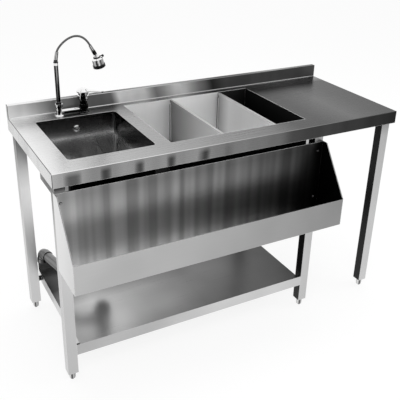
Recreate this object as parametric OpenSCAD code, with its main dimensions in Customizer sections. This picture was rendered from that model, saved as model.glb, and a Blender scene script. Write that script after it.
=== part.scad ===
// Free-standing stainless bar station: sink bowl, ice bin, mixer tap, speed rail and undershelf.
// Inside the modules the station frame is used: X from the worktop's left end, Y from the front
// edge of the worktop to the back, Z up from the floor. place() moves it to the part's own frame.

/* [Worktop] */
// Length of the worktop
top_l = 1500; // [1450:5:1600]
// Depth of the worktop, front edge to back
top_d = 600; // [595:5:680]
// Height of the working surface above the floor
top_h = 895; // [870:5:930]
// Thickness of the worktop sheet
sheet_t = 1.5; // [1:0.1:2]
// Height of the folded edge round the worktop
apron_h = 52; // [46:1:70]
// Outside radius of the folded edges
edge_r = 2.5; // [2.2:0.1:3.5]
// Width of the lip turned in under the folded edge
return_w = 8; // [4:1:8]
// Height of the upstand along the back
upstand_h = 55; // [40:1:90]
// Thickness of the boxed upstand
upstand_t = 22; // [14:1:22]

/* [Frame and legs] */
// Outside width of the square legs
leg_w = 40; // [35:1:40]
// Wall of the legs
leg_wall = 1.5; // [1.2:0.1:2.5]
// Distance from the worktop's ends to the outer legs
leg_inset_x = 10; // [8:1:14]
// Distance from the front edge to the front legs
leg_inset_front = 22; // [18:1:24]
// Distance from the back edge to the back legs
leg_inset_back = 21; // [18:1:24]
// Gap between the ice bin's casing and the middle legs
mid_leg_gap = 2; // [1:0.5:10]
// Height of the channels under the worktop
channel_h = 30; // [24:1:36]
// Sheet thickness of the channels
channel_t = 1.5; // [1.2:0.1:2]
// Width of the channel along the back
back_channel_w = 20; // [16:1:24]
// Width of the channel between the bowl and the ice bin
mid_channel_w = 24; // [18:1:26]
// Thickness of the plate welded in the top of each leg
cap_t = 4; // [3:0.5:6]
// Height of the plastic plug in the foot of each leg
plug_h = 45; // [40:1:60]
// Gap all round between the plug and the leg
plug_gap = 0.1; // [0.05:0.05:0.3]

/* [Feet] */
// Height of a foot below its leg when screwed right in
foot_h = 36; // [30:1:45]
// Diameter of a foot
foot_d = 25; // [20:1:34]
// Diameter of a foot's threaded stem
foot_stem_d = 10; // [8:1:12]
// Radial clearance of the stem in its plug
foot_fit = 0.08; // [0.05:0.01:0.1]
// How far a foot screws out
foot_travel = 18; // [10:1:25]

/* [Undershelf] */
// Height of the shelf's surface above the floor
shelf_z = 166; // [150:1:220]
// Depth of the shelf's folded edge
shelf_edge = 46; // [30:1:50]
// Sheet thickness of the shelf
shelf_t = 1.2; // [1:0.1:2]
// Gap between the shelf's sides and the legs
shelf_gap = 14; // [8:1:20]
// How far the shelf reaches behind the back legs
shelf_behind = 10; // [5:1:15]
// Height of the shelf's turned-up back edge
shelf_upstand = 44; // [20:1:60]
// Diameter of the spacers between shelf and legs
spacer_d = 22; // [16:1:26]

/* [Speed rail] */
// How far the rail's front stands out from the worktop's edge
rail_reach = 140; // [120:1:160]
// Height of the rail's floor above the ground
rail_z = 505; // [480:5:540]
// Height of the rail's front lip
lip_h = 115; // [90:1:140]
// Height of the rail's back panel
rail_back_h = 309; // [280:1:315]
// Sheet thickness of the rail
rail_t = 1.2; // [1:0.1:2]
// Width of the folded hem on the rail's edges
hem_w = 4; // [3:0.5:5]
// How far the end plates stand in front of the worktop's edge at their top
end_top_reach = 7; // [0:1:20]
// How far the end plates lap over the sides of the legs
end_lap = 13; // [8:1:20]

/* [Sink bowl] */
// Left edge of the bowl opening from the worktop's left end
bowl_x = 84; // [80:1:90]
// Front edge of the bowl opening from the worktop's front edge
bowl_y = 90; // [84:1:95]
// Width of the bowl
bowl_w = 333; // [300:1:336]
// Distance of the bowl opening from the worktop's back edge
bowl_behind = 100; // [98:1:120]
// Depth of the bowl, outside
bowl_depth = 250; // [180:1:255]
// Radius of the bowl's corners
bowl_r = 14; // [8:1:24]
// Sheet thickness of the bowl
bowl_t = 1; // [0.8:0.1:1.5]
// Width of the bowl's flange under the worktop
bowl_flange = 10; // [6:1:10]
// Distance of the overflow below the working surface
overflow_drop = 51; // [45:1:70]
// Diameter of the overflow rosette
overflow_d = 30; // [26:1:36]

/* [Bowl waste] */
// Diameter of the waste hole in the bowl
waste_hole_d = 90; // [85:1:95]
// Diameter of the basket strainer's rim
basket_d = 82; // [70:1:83]
// Depth of the basket
basket_depth = 32; // [20:1:34]
// Outside diameter of the waste pipes
pipe_d = 40; // [32:1:42]
// Wall of the waste pipes
pipe_wall = 2; // [1.5:0.1:3]
// Height of the waste pipe's axis above the floor
pipe_z = 285; // [270:1:320]
// Diameter of the bottle trap
trap_d = 62; // [56:1:70]
// Straight length from the trap to the pipe's bend
pipe_arm = 52; // [50:1:70]
// Radius of the waste pipe's bend in plan
pipe_bend_r = 90; // [80:1:110]
// Angle through which the pipe bends in plan
pipe_turn = 79; // [70:1:88]
// Straight length from the bend to the end elbow
pipe_run = 152; // [120:1:165]
// Radius of the end elbow
elbow_r = 30; // [28:1:40]
// Diameter of the overflow pipe
overflow_pipe_d = 20; // [16:1:24]

/* [Ice bin] */
// Left edge of the bin opening from the worktop's left end
bin_x = 474; // [472:1:480]
// Front edge of the bin opening from the worktop's front edge
bin_y = 85; // [82:1:90]
// Width of the bin
bin_w = 607; // [560:1:607]
// Distance of the bin opening from the worktop's back edge
bin_behind = 55; // [54:1:70]
// Inside depth of the bin below the working surface
bin_depth = 215; // [180:1:240]
// Sheet thickness of the bin
bin_t = 1; // [0.8:0.1:1.2]
// Thickness of the foam round the bin
foam_t = 7; // [5:0.5:7.5]
// First divider from the bin's left side
divider_a = 223; // [180:1:240]
// Second divider from the bin's left side
divider_b = 464; // [440:1:480]
// Sheet thickness of the dividers
divider_t = 1.5; // [1:0.1:2]
// Width of the fold along a divider's top
divider_hem = 10; // [6:1:14]
// Gap between a divider and its guides
divider_gap = 0.35; // [0.3:0.05:0.6]
// Height of the lift-out floors above the bin's floor
false_floor_z = 16; // [12:1:30]
// Diameter of the drain holes in the lift-out floors
drain_hole_d = 10; // [6:1:14]
// Outside diameter of the bin's drain spigot
spigot_d = 32; // [25:1:34]

/* [Tap] */
// Tap line from the worktop's back edge
tap_behind = 59; // [58:1:61]
// Spout column from the worktop's left end
spout_x = 196; // [185:1:210]
// Distance from the spout column to the mixer
tap_span = 103; // [95:1:120]
// Height of the tap bar's axis above the worktop
bar_z = 13; // [12:1:20]
// Diameter of the tap bar
bar_d = 20; // [16:1:22]
// Diameter of the spout riser
riser_d = 17; // [14:1:18]
// Height of the riser's top above the worktop
riser_top = 205; // [160:1:260]
// Diameter of the flexible neck
neck_d = 10; // [8:1:12]
// Bore of the flexible neck
neck_bore = 5; // [4:0.5:6]
// Count of ribs on the flexible neck
neck_ribs = 84; // [40:2:100]
// Diameter of the mixer's cartridge housing
mixer_d = 40; // [38:1:44]
// Diameter of the lever's hood
hood_d = 52; // [48:1:56]
// Reach of the lever from the mixer's axis
lever_reach = 92; // [70:1:110]
// Direction of the lever in plan at rest
lever_rest = -48; // [-60:1:-30]
// Diameter of the spray head
head_d = 46; // [40:1:50]
// Height of the spray head
head_h = 41; // [36:1:46]
// Tilt of the spray head from straight down
head_tilt = 14; // [0:1:20]
// Diameter of the threaded tap tails
tail_d = 20.9; // [18:0.1:21]
// Length of the threaded tap tails below the worktop
tail_l = 62; // [50:1:80]

/* [Hidden] */
$fn = 64;
eps = 0.01;
over = 1;

// Heights under the worktop
under_z = top_h - sheet_t;
channel_z = under_z - channel_h;
leg_bottom = foot_h;

// Legs: left faces of the three pairs, front faces of the two rows
bin_shell = foam_t + bin_t;
leg_left_x = leg_inset_x;
leg_right_x = top_l - leg_inset_x - leg_w;
leg_mid_x = bin_x + bin_w + bin_shell + bin_t + mid_leg_gap;
leg_front_y = leg_inset_front;
leg_back_y = top_d - leg_inset_back - leg_w;

// Rail
rail_x0 = leg_left_x;
rail_x1 = leg_mid_x + leg_w;
rail_y1 = leg_front_y;

// Bowl and its waste
bowl_d = top_d - bowl_y - bowl_behind;
bowl_floor = top_h - bowl_depth + bowl_t;
drain_x = bowl_x + bowl_w / 2;
drain_y = bowl_y + bowl_d / 2;
waste_rim_d = waste_hole_d + 22;
waste_rim_t = 2.5;
waste_cup_h = 42;
waste_tail_h = 30;
gasket_t = 3;
waste_nut_h = 12;
cup_d = waste_hole_d - 2;
trap_rise = 75;
trap_drop = 65;
tail_in_trap = 30;
cup_nut_w = 60;
trap_nut_w = 58;
overflow_port_drop = 32;
overflow_wall = 1.5;

// Ice bin
bin_d = top_d - bin_y - bin_behind;
bin_floor = top_h - bin_depth;
spigot_shank_d = spigot_d + 0.6;
spigot_nut_h = 10;
bin_drain_x = bin_x + bin_w / 2;
bin_drain_y = bin_y + bin_d / 2;

// Tap
tap_y = top_d - tap_behind;
mixer_x = spout_x + tap_span;
socket_top = 47;
socket_floor = 22;
riser_foot = socket_floor + 1;
neck_foot_rise = 16;
neck_lean = 11.5;
neck_pull_foot = 22;
neck_pull_head = 100;
neck_fall = 28;
foot_sleeve_l = 38;
head_sleeve_l = 24;
ball_reach = 167;
ball_z = 223;
ball_drop = 30;
mixer_z = top_h + 52;
lever_pivot_z = top_h + 82;

module place() {
    translate([-top_l / 2, (rail_reach - top_d) / 2, 0]) children();
}

// A box open to rounding on its four upright edges and its lower edges; it stands on z = 0.
module round_bottom_box(w, d, h, r) {
    translate([r, r, 0]) cube([w - 2 * r, d - 2 * r, h]);
    translate([0, r, r]) cube([w, d - 2 * r, h - r]);
    translate([r, 0, r]) cube([w - 2 * r, d, h - r]);
    for (x = [r, w - r]) {
        translate([x, r, r]) rotate([-90, 0, 0]) cylinder(r = r, h = d - 2 * r);
        for (y = [r, d - r]) {
            translate([x, y, r]) cylinder(r = r, h = h - r);
            translate([x, y, r]) sphere(r = r);
        }
    }
    for (y = [r, d - r]) {
        translate([r, y, r]) rotate([0, 90, 0]) cylinder(r = r, h = w - 2 * r);
    }
}

// The same box turned over, with its rounded edges on top at z = h.
module round_top_box(w, d, h, r) {
    translate([0, d, h]) rotate([180, 0, 0]) round_bottom_box(w, d, h, r);
}

module round_rect(w, d, r) {
    translate([r, 0]) square([w - 2 * r, d]);
    translate([0, r]) square([w, d - 2 * r]);
    for (x = [r, w - r]) {
        for (y = [r, d - r]) {
            translate([x, y]) circle(r = r);
        }
    }
}

module tube(od, id, h) {
    difference() {
        cylinder(d = od, h = h);
        translate([0, 0, -over]) cylinder(d = id, h = h + 2 * over);
    }
}

module hex_ring(across, id, h) {
    difference() {
        cylinder(d = across / cos(30), h = h, $fn = 6);
        translate([0, 0, -over]) cylinder(d = id, h = h + 2 * over);
    }
}

// ---- Worktop -------------------------------------------------------------------------------

module worktop() {
    color("silver") place() {
        difference() {
            union() {
                translate([0, 0, top_h - apron_h]) round_top_box(top_l, top_d, apron_h, edge_r);
                translate([0, top_d - upstand_t, top_h - apron_h])
                    round_top_box(top_l, upstand_t, apron_h + upstand_h, edge_r);
            }
            translate([sheet_t, sheet_t, top_h - apron_h - over])
                cube([top_l - 2 * sheet_t, top_d - 2 * sheet_t, apron_h - sheet_t + over]);
            translate([sheet_t, top_d - upstand_t + sheet_t, top_h - apron_h])
                cube([top_l - 2 * sheet_t, upstand_t - 2 * sheet_t, apron_h + upstand_h - sheet_t]);
            translate([bowl_x, bowl_y, under_z - over])
                linear_extrude(sheet_t + 2 * over) round_rect(bowl_w, bowl_d, bowl_r);
            translate([bin_x, bin_y, under_z - over]) cube([bin_w, bin_d, sheet_t + 2 * over]);
            for (x = [spout_x, mixer_x]) {
                translate([x, tap_y, under_z - over])
                    cylinder(d = shank_d + hole_gap, h = sheet_t + 2 * over);
            }
        }
        translate([sheet_t, sheet_t, top_h - apron_h]) difference() {
            cube([top_l - 2 * sheet_t, top_d - 2 * sheet_t, sheet_t]);
            translate([return_w, return_w, -over])
                cube([top_l - 2 * (sheet_t + return_w), top_d - 2 * (sheet_t + return_w),
                    sheet_t + 2 * over]);
        }
    }
}

// A channel open below: a long folded tray turned over, with closed ends.
module channel(l, w) {
    difference() {
        cube([l, w, channel_h]);
        translate([channel_t, channel_t, -over])
            cube([l - 2 * channel_t, w - 2 * channel_t, channel_h - channel_t + over]);
    }
}

module channel_across(x, w) {
    y0 = leg_front_y + leg_w;
    y1 = leg_back_y + leg_w - back_channel_w;
    translate([x + w, y0, channel_z]) rotate([0, 0, 90]) channel(y1 - y0, w);
}

module channel_front() {
    color("gray") place()
        translate([leg_left_x, leg_front_y, channel_z]) channel(leg_right_x + leg_w - leg_left_x, leg_w);
}

module channel_back() {
    color("gray") place()
        translate([leg_left_x, leg_back_y + leg_w - back_channel_w, channel_z])
            channel(leg_right_x + leg_w - leg_left_x, back_channel_w);
}

module channel_left() {
    color("gray") place() channel_across(leg_left_x, leg_w);
}

module channel_middle() {
    gap = bin_x - bowl_x - bowl_w;
    free = gap - bowl_flange - bin_shell - bin_t;
    color("gray") place()
        channel_across(bowl_x + bowl_w + bowl_flange + (free - mid_channel_w) / 2, mid_channel_w);
}

module channel_bay() {
    color("gray") place() channel_across(leg_mid_x, leg_w);
}

module channel_right() {
    color("gray") place() channel_across(leg_right_x, leg_w);
}

// Top-hat section under the plain part of the worktop.
module top_stiffener() {
    hat_w = 60;
    brim_w = 18;
    hat_h = 22;
    x0 = (leg_mid_x + leg_w + leg_right_x) / 2;
    y0 = leg_front_y + leg_w;
    y1 = leg_back_y + leg_w - back_channel_w;
    color("gray") place() translate([x0, y0, under_z]) difference() {
        union() {
            translate([-hat_w / 2, 0, -hat_h]) cube([hat_w, y1 - y0, hat_h]);
            translate([-hat_w / 2 - brim_w, 0, -channel_t]) cube([hat_w + 2 * brim_w, y1 - y0, channel_t]);
        }
        translate([channel_t - hat_w / 2, -over, channel_t - hat_h])
            cube([hat_w - 2 * channel_t, y1 - y0 + 2 * over, hat_h]);
    }
}

// ---- Legs and feet -------------------------------------------------------------------------

module leg_at(x, y) {
    color("gainsboro") place() translate([x, y, leg_bottom]) difference() {
        cube([leg_w, leg_w, channel_z - leg_bottom]);
        translate([leg_wall, leg_wall, -over])
            cube([leg_w - 2 * leg_wall, leg_w - 2 * leg_wall, channel_z - leg_bottom - cap_t + over]);
    }
}

module leg_front_left() {
    leg_at(leg_left_x, leg_front_y);
}

module leg_back_left() {
    leg_at(leg_left_x, leg_back_y);
}

module leg_front_middle() {
    leg_at(leg_mid_x, leg_front_y);
}

module leg_back_middle() {
    leg_at(leg_mid_x, leg_back_y);
}

module leg_front_right() {
    leg_at(leg_right_x, leg_front_y);
}

module leg_back_right() {
    leg_at(leg_right_x, leg_back_y);
}

module leg_plugs() {
    side = leg_w - 2 * leg_wall - 2 * plug_gap;
    color("dimgray") place() {
        for (x = [leg_left_x, leg_mid_x, leg_right_x]) {
            for (y = [leg_front_y, leg_back_y]) {
                translate([x + leg_w / 2, y + leg_w / 2, leg_bottom]) difference() {
                    translate([-side / 2, -side / 2, 0]) cube([side, side, plug_h]);
                    translate([0, 0, -over])
                        cylinder(d = foot_stem_d + 2 * foot_fit, h = plug_h + 2 * over);
                }
            }
        }
    }
}

// A foot: a bullet with a flat sole, and the stem that screws into the plug.
module foot_at(x, y) {
    sole_d = foot_d * 0.6;
    cheek_d = foot_d * 0.9;
    nose_h = foot_h * 0.14;
    cheek_h = foot_h * 0.22;
    color("silver") place() translate([x + leg_w / 2, y + leg_w / 2, 0]) {
        cylinder(d1 = sole_d, d2 = cheek_d, h = nose_h);
        translate([0, 0, nose_h - eps]) cylinder(d1 = cheek_d, d2 = foot_d, h = cheek_h + eps);
        translate([0, 0, nose_h + cheek_h]) cylinder(d = foot_d, h = foot_h - nose_h - cheek_h);
        translate([0, 0, foot_h - over]) cylinder(d = foot_stem_d, h = plug_h - 5 + over);
    }
}

module foot_front_left() {
    foot_at(leg_left_x, leg_front_y);
}

module foot_back_left() {
    foot_at(leg_left_x, leg_back_y);
}

module foot_front_middle() {
    foot_at(leg_mid_x, leg_front_y);
}

module foot_back_middle() {
    foot_at(leg_mid_x, leg_back_y);
}

module foot_front_right() {
    foot_at(leg_right_x, leg_front_y);
}

module foot_back_right() {
    foot_at(leg_right_x, leg_back_y);
}

// ---- Undershelf ----------------------------------------------------------------------------

shelf_x0 = leg_left_x + leg_w + shelf_gap;
shelf_x1 = leg_mid_x - shelf_gap;
shelf_y0 = leg_front_y;
shelf_y1 = leg_back_y + leg_w + shelf_behind;
spacer_z = shelf_z - shelf_edge / 2;
spacer_end = 0.02;

module undershelf() {
    l = shelf_x1 - shelf_x0;
    d = shelf_y1 - shelf_y0;
    color("silver") place() translate([shelf_x0, shelf_y0, shelf_z - shelf_edge]) {
        difference() {
            union() {
                cube([l, d, shelf_edge]);
                translate([0, d - shelf_t, shelf_edge - eps]) cube([l, shelf_t, shelf_upstand + eps]);
                translate([-shelf_gap, 0, 0]) cube([l + 2 * shelf_gap, shelf_t, shelf_edge]);
            }
            translate([shelf_t, shelf_t, -over])
                cube([l - 2 * shelf_t, d - 2 * shelf_t, shelf_edge - shelf_t + over]);
        }
        translate([shelf_t, d / 2 - 30, shelf_edge - shelf_t - 20]) difference() {
            cube([l - 2 * shelf_t, 60, 20]);
            translate([-over, shelf_t, shelf_t]) cube([l + 2 * over, 60 - 2 * shelf_t, 20]);
        }
    }
}

// Four places where the shelf is bolted to the legs, each with the side it faces.
module at_shelf_fixings() {
    for (y = [leg_front_y + leg_w / 2, leg_back_y + leg_w / 2]) {
        translate([shelf_x0, y, spacer_z]) children();
        translate([shelf_x1, y, spacer_z]) rotate([0, 0, 180]) children();
    }
}

module shelf_spacers() {
    color("gray") place() at_shelf_fixings()
        translate([-shelf_gap + spacer_end, 0, 0]) rotate([0, 90, 0])
            cylinder(d = spacer_d, h = shelf_gap - 2 * spacer_end);
}

module shelf_screws() {
    head_r = 8;
    head_h = 5;
    color("silver") place() at_shelf_fixings()
        translate([shelf_t + spacer_end, 0, 0]) rotate([0, 90, 0]) difference() {
            cylinder(r1 = head_r, r2 = head_r * 0.7, h = head_h);
            translate([0, 0, head_h - 3]) cylinder(d = 6, h = 4, $fn = 6);
        }
}

// ---- Speed rail ----------------------------------------------------------------------------

module rail_tray() {
    l = rail_x1 - rail_x0;
    d = rail_reach + rail_y1;
    color("silver") place() translate([rail_x0, -rail_reach, rail_z]) {
        cube([l, d, rail_t]);
        cube([l, rail_t, lip_h]);
        translate([0, 0, lip_h - rail_t]) cube([l, hem_w, rail_t]);
        translate([0, hem_w - rail_t, lip_h - 10]) cube([l, rail_t, 10]);
        translate([0, d - rail_t, 0]) cube([l, rail_t, rail_back_h]);
        translate([0, d - hem_w, rail_back_h - rail_t]) cube([l, hem_w, rail_t]);
    }
}

// Outline of an end plate in the Y-Z plane: flat floor, upright lip, sloping top edge, back lap.
function end_outline(inset) = [
    [-rail_reach + inset, rail_z],
    [rail_y1 + end_lap, rail_z],
    [rail_y1 + end_lap, rail_z + rail_back_h],
    [-end_top_reach + inset, rail_z + rail_back_h],
    [-rail_reach + inset, rail_z + lip_h]
];

module rail_end(x, hem_side) {
    hem_start = hem_w + 3;
    edge_run = rail_reach - end_top_reach;
    edge_rise = rail_back_h - lip_h;
    edge_l = sqrt(edge_run * edge_run + edge_rise * edge_rise);
    place() translate([x, 0, 0]) {
        rotate([90, 0, 90]) linear_extrude(rail_t) polygon(end_outline(0));
        translate([hem_side > 0 ? 0 : rail_t - hem_w, -rail_reach, rail_z + lip_h])
            rotate([atan2(edge_rise, edge_run), 0, 0])
                translate([0, hem_start, -rail_t]) cube([hem_w, edge_l - hem_start, rail_t]);
    }
}

module rail_end_left() {
    color("silver") rail_end(rail_x0 - rail_t, 1);
}

module rail_end_right() {
    color("silver") rail_end(rail_x1, -1);
}

module rail_screws() {
    color("silver") place() {
        for (x = [leg_left_x + leg_w / 2, leg_mid_x + leg_w / 2]) {
            for (z = [rail_z + 60, rail_z + rail_back_h - 40]) {
                translate([x, rail_y1 - rail_t - 0.02, z]) rotate([90, 0, 0]) difference() {
                    cylinder(d1 = 12, d2 = 8, h = 3.5);
                    translate([0, 0, 1.5]) cylinder(d = 4.5, h = 3, $fn = 6);
                }
            }
        }
    }
}

// ---- Sink bowl -----------------------------------------------------------------------------

module sink_bowl() {
    w = bowl_w + 2 * bowl_t;
    d = bowl_d + 2 * bowl_t;
    h = under_z - bowl_floor + bowl_t;
    color("gray") place() difference() {
        union() {
            translate([bowl_x - bowl_t, bowl_y - bowl_t, bowl_floor - bowl_t])
                round_bottom_box(w, d, h, bowl_r + bowl_t);
            translate([bowl_x - bowl_flange, bowl_y - bowl_flange, under_z - bowl_t])
                cube([bowl_w + 2 * bowl_flange, bowl_d + 2 * bowl_flange, bowl_t]);
        }
        translate([bowl_x, bowl_y, bowl_floor]) round_bottom_box(bowl_w, bowl_d, h + over, bowl_r);
        translate([drain_x, drain_y, bowl_floor - bowl_t - over])
            cylinder(d = waste_hole_d, h = bowl_t + 2 * over);
        translate([drain_x, bowl_y + bowl_d - over, top_h - overflow_drop])
            rotate([-90, 0, 0]) cylinder(d = overflow_d - 8, h = bowl_t + 2 * over);
    }
}

module overflow_rosette() {
    slots = 6;
    plate_t = 2;
    gap = 0.02;
    color("silver") place()
        translate([drain_x, bowl_y + bowl_d - gap, top_h - overflow_drop]) rotate([90, 0, 0]) {
            difference() {
                union() {
                    cylinder(d = overflow_d, h = plate_t);
                    translate([0, 0, plate_t - eps])
                        cylinder(d1 = overflow_d - 4, d2 = overflow_d - 12, h = 1.5);
                }
                for (i = [0:slots - 1]) {
                    rotate([0, 0, i * 360 / slots]) translate([overflow_d * 0.29, 0, -over]) {
                        cylinder(d = 4, h = plate_t + 1.5 + 2 * over);
                    }
                }
            }
            translate([0, 0, plate_t]) cylinder(d1 = 9, d2 = 6, h = 4);
        }
}

// Overflow head behind the bowl, its pipe down the back wall, a bend, and the run to the waste.
module overflow_run(r, extra) {
    back_y = bowl_y + bowl_d + bowl_t + 14;
    bend = 26;
    low_z = bowl_floor + spacer_end - overflow_port_drop;
    port_y = drain_y + cup_d / 2 + 2;
    translate([drain_x, back_y, low_z + bend]) cylinder(r = r, h = top_h - overflow_drop - low_z - bend);
    translate([drain_x, back_y - bend, low_z + bend]) rotate([90, 0, 90])
        rotate([0, 0, -90]) rotate_extrude(angle = 90) translate([bend, 0]) circle(r = r);
    translate([drain_x, port_y - extra, low_z]) rotate([-90, 0, 0])
        cylinder(r = r, h = back_y - bend - port_y + extra);
}

module overflow_pipe() {
    head_y = bowl_y + bowl_d + bowl_t + spacer_end;
    head_t = 24;
    color("dimgray") place() difference() {
        union() {
            overflow_run(overflow_pipe_d / 2, 0);
            translate([drain_x, head_y, top_h - overflow_drop]) rotate([-90, 0, 0])
                cylinder(d = overflow_d + 8, h = head_t);
        }
        overflow_run(overflow_pipe_d / 2 - overflow_wall, over);
        translate([drain_x, head_y - over, top_h - overflow_drop]) rotate([-90, 0, 0])
            cylinder(d = overflow_d - 8, h = head_t - overflow_wall + over);
    }
}

// ---- Bowl waste ----------------------------------------------------------------------------

step_d = basket_d + 1;
cup_wall = 2;

module waste_flange() {
    tail_od = pipe_d + 8;
    color("silver") place() translate([drain_x, drain_y, bowl_floor + spacer_end]) difference() {
        union() {
            cylinder(d1 = waste_rim_d, d2 = waste_rim_d - 6, h = waste_rim_t);
            translate([0, 0, -waste_cup_h]) cylinder(d = cup_d, h = waste_cup_h + eps);
            translate([0, 0, -waste_cup_h - waste_tail_h]) cylinder(d = tail_od, h = waste_tail_h + eps);
            translate([0, cup_d / 2 - 2, -overflow_port_drop]) rotate([-90, 0, 0])
                cylinder(d = overflow_pipe_d - 2 * overflow_wall - 0.1, h = 16);
        }
        translate([0, 0, waste_rim_t - 1.2]) cylinder(d = step_d, h = 2);
        translate([0, 0, cup_wall - waste_cup_h]) cylinder(d = step_d - 4, h = waste_cup_h + waste_rim_t);
        translate([0, 0, -waste_cup_h - waste_tail_h - over])
            cylinder(d = pipe_d + 1, h = waste_tail_h + cup_wall + 2 * over);
        translate([0, cup_d / 2 - 4, -overflow_port_drop]) rotate([-90, 0, 0])
            cylinder(d = overflow_pipe_d - 2 * overflow_wall - 4, h = 20);
    }
}

module waste_gasket() {
    color("dimgray") place()
        translate([drain_x, drain_y, bowl_floor - bowl_t - gasket_t - spacer_end])
            tube(waste_rim_d - 2, waste_hole_d, gasket_t);
}

module waste_nut() {
    color("dimgray") place()
        translate([drain_x, drain_y, bowl_floor - bowl_t - gasket_t - waste_nut_h - 2 * spacer_end]) difference() {
            cylinder(d = waste_rim_d + 4, h = waste_nut_h, $fn = 12);
            translate([0, 0, -over]) cylinder(d = waste_hole_d - 1.9, h = waste_nut_h + 2 * over);
        }
}

// Lift-out basket: perforated cup with a rim and a pull knob in the middle.
module basket_strainer() {
    wall = 1;
    cup = basket_d - 8;
    holes = 12;
    rest = bowl_floor + waste_rim_t - 1.2 + spacer_end;
    color("silver") place() translate([drain_x, drain_y, rest]) {
        difference() {
            union() {
                cylinder(d = basket_d, h = wall);
                translate([0, 0, -basket_depth]) cylinder(d1 = cup - 14, d2 = cup, h = basket_depth + eps);
            }
            translate([0, 0, wall - basket_depth])
                cylinder(d1 = cup - 14 - 2 * wall, d2 = cup - 2 * wall, h = basket_depth + eps);
            for (i = [0:holes - 1]) {
                rotate([0, 0, i * 360 / holes]) translate([cup * 0.3, 0, -basket_depth - over])
                    cylinder(d = 4, h = 4);
            }
        }
        translate([0, 0, wall - basket_depth - eps]) cylinder(d = 7, h = basket_depth - 2);
        translate([0, 0, -5]) cylinder(d1 = 12, d2 = 18, h = 5);
        translate([0, 0, -eps]) cylinder(d = 18, h = 3);
    }
}

trap_top = pipe_z + trap_rise;
trap_low = pipe_z - trap_drop;

module tailpiece() {
    top = bowl_floor - waste_cup_h - 4;
    color("gray") place() translate([drain_x, drain_y, 0]) {
        translate([0, 0, pipe_z - tail_in_trap])
            tube(pipe_d, pipe_d - 2 * pipe_wall, top - pipe_z + tail_in_trap);
        translate([0, 0, bowl_floor - waste_cup_h - waste_tail_h - 16])
            hex_ring(cup_nut_w, pipe_d - pipe_wall, 15.9);
        translate([0, 0, trap_top + spacer_end]) hex_ring(trap_nut_w, pipe_d - pipe_wall, 18);
    }
}

module bottle_trap() {
    wall = 3;
    color("gray") place() translate([drain_x, drain_y, 0]) difference() {
        union() {
            translate([0, 0, pipe_z - 20]) cylinder(d = trap_d, h = trap_top - pipe_z + 20);
            translate([0, 0, trap_low]) cylinder(d1 = trap_d - 12, d2 = trap_d + 8, h = 12);
            translate([0, 0, trap_low + 12 - eps])
                cylinder(d = trap_d + 8, h = pipe_z - 20 - trap_low - 12 + 2 * eps);
            translate([0, 0, pipe_z]) rotate([0, -90, 0]) cylinder(d = pipe_d + 12, h = pipe_arm - 6);
        }
        translate([0, 0, trap_low + wall]) cylinder(d = trap_d - 2 * wall - 8, h = 12);
        translate([0, 0, trap_low + wall + 8])
            cylinder(d = trap_d - 2 * wall, h = trap_top - trap_low - 2 * wall - 8);
        translate([0, 0, trap_top - 2 * wall]) cylinder(d = pipe_d + 0.2, h = 3 * wall);
        translate([0, 0, pipe_z]) rotate([0, -90, 0]) cylinder(d = pipe_d + 0.2, h = pipe_arm);
    }
}

// Moulded bend: a little thicker than the straight pipe, inside and outside.
module pipe_bend(bend_r, turn) {
    thicker = 0.5;
    rotate_extrude(angle = turn) translate([bend_r, 0]) difference() {
        circle(d = pipe_d + 2 * thicker);
        circle(d = pipe_d - 2 * pipe_wall - 2 * thicker);
    }
}

// The waste pipe from the trap: an arm to the left, a bend in plan, a run to the back, and an
// elbow that turns down over the shelf.
module waste_pipe() {
    id = pipe_d - 2 * pipe_wall;
    start = trap_d / 2 + 4;
    end_l = 18;
    lap = 2;
    sleeve_id = pipe_d - pipe_wall;
    sleeve_od = pipe_d + 6;
    run_x = -pipe_arm + pipe_bend_r * cos(-90 - pipe_turn);
    run_y = pipe_bend_r + pipe_bend_r * sin(-90 - pipe_turn);
    color("gray") place() translate([drain_x, drain_y, pipe_z]) {
        translate([-start, 0, 0]) rotate([0, -90, 0]) tube(pipe_d, id, pipe_arm - start + eps);
        translate([-pipe_arm, pipe_bend_r, 0]) rotate([0, 0, -90 - pipe_turn])
            pipe_bend(pipe_bend_r, pipe_turn);
        translate([run_x, run_y, 0]) rotate([0, 0, 180 - pipe_turn]) {
            translate([-eps, 0, 0]) rotate([0, 90, 0]) tube(pipe_d, id, pipe_run + 2 * eps);
            translate([pipe_run - 26, 0, 0]) rotate([0, 90, 0]) tube(sleeve_od, sleeve_id, 26 - lap);
            translate([pipe_run, 0, -elbow_r]) rotate([90, 0, 0]) pipe_bend(elbow_r, 90);
            translate([pipe_run + elbow_r, 0, -elbow_r - end_l]) tube(pipe_d, id, end_l + eps);
            translate([pipe_run + elbow_r, 0, -elbow_r - end_l]) tube(sleeve_od, sleeve_id, end_l - lap);
        }
    }
}

// ---- Ice bin -------------------------------------------------------------------------------

// A tray with an outside size that is w by d larger than the bin by out on every side.
module bin_tray(out, wall, top_z, floor_z) {
    x = bin_x - out;
    y = bin_y - out;
    w = bin_w + 2 * out;
    d = bin_d + 2 * out;
    translate([x, y, floor_z]) difference() {
        cube([w, d, top_z - floor_z]);
        translate([wall, wall, wall]) cube([w - 2 * wall, d - 2 * wall, top_z - floor_z]);
        translate([w / 2, d / 2, -over]) cylinder(d = spigot_shank_d + 0.2, h = wall + 2 * over);
    }
}

module ice_bin_liner() {
    out = bin_shell + bin_t;
    color("lightgray") place() {
        bin_tray(bin_t, bin_t, under_z, bin_floor - bin_t);
        translate([bin_x - out, bin_y - out, under_z - bin_t]) difference() {
            cube([bin_w + 2 * out, bin_d + 2 * out, bin_t]);
            translate([out - bin_t / 2, out - bin_t / 2, -over])
                cube([bin_w + bin_t, bin_d + bin_t, bin_t + 2 * over]);
        }
    }
}

module ice_bin_foam() {
    color("khaki") place() bin_tray(bin_shell, foam_t, under_z - bin_t, bin_floor - bin_shell);
}

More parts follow.
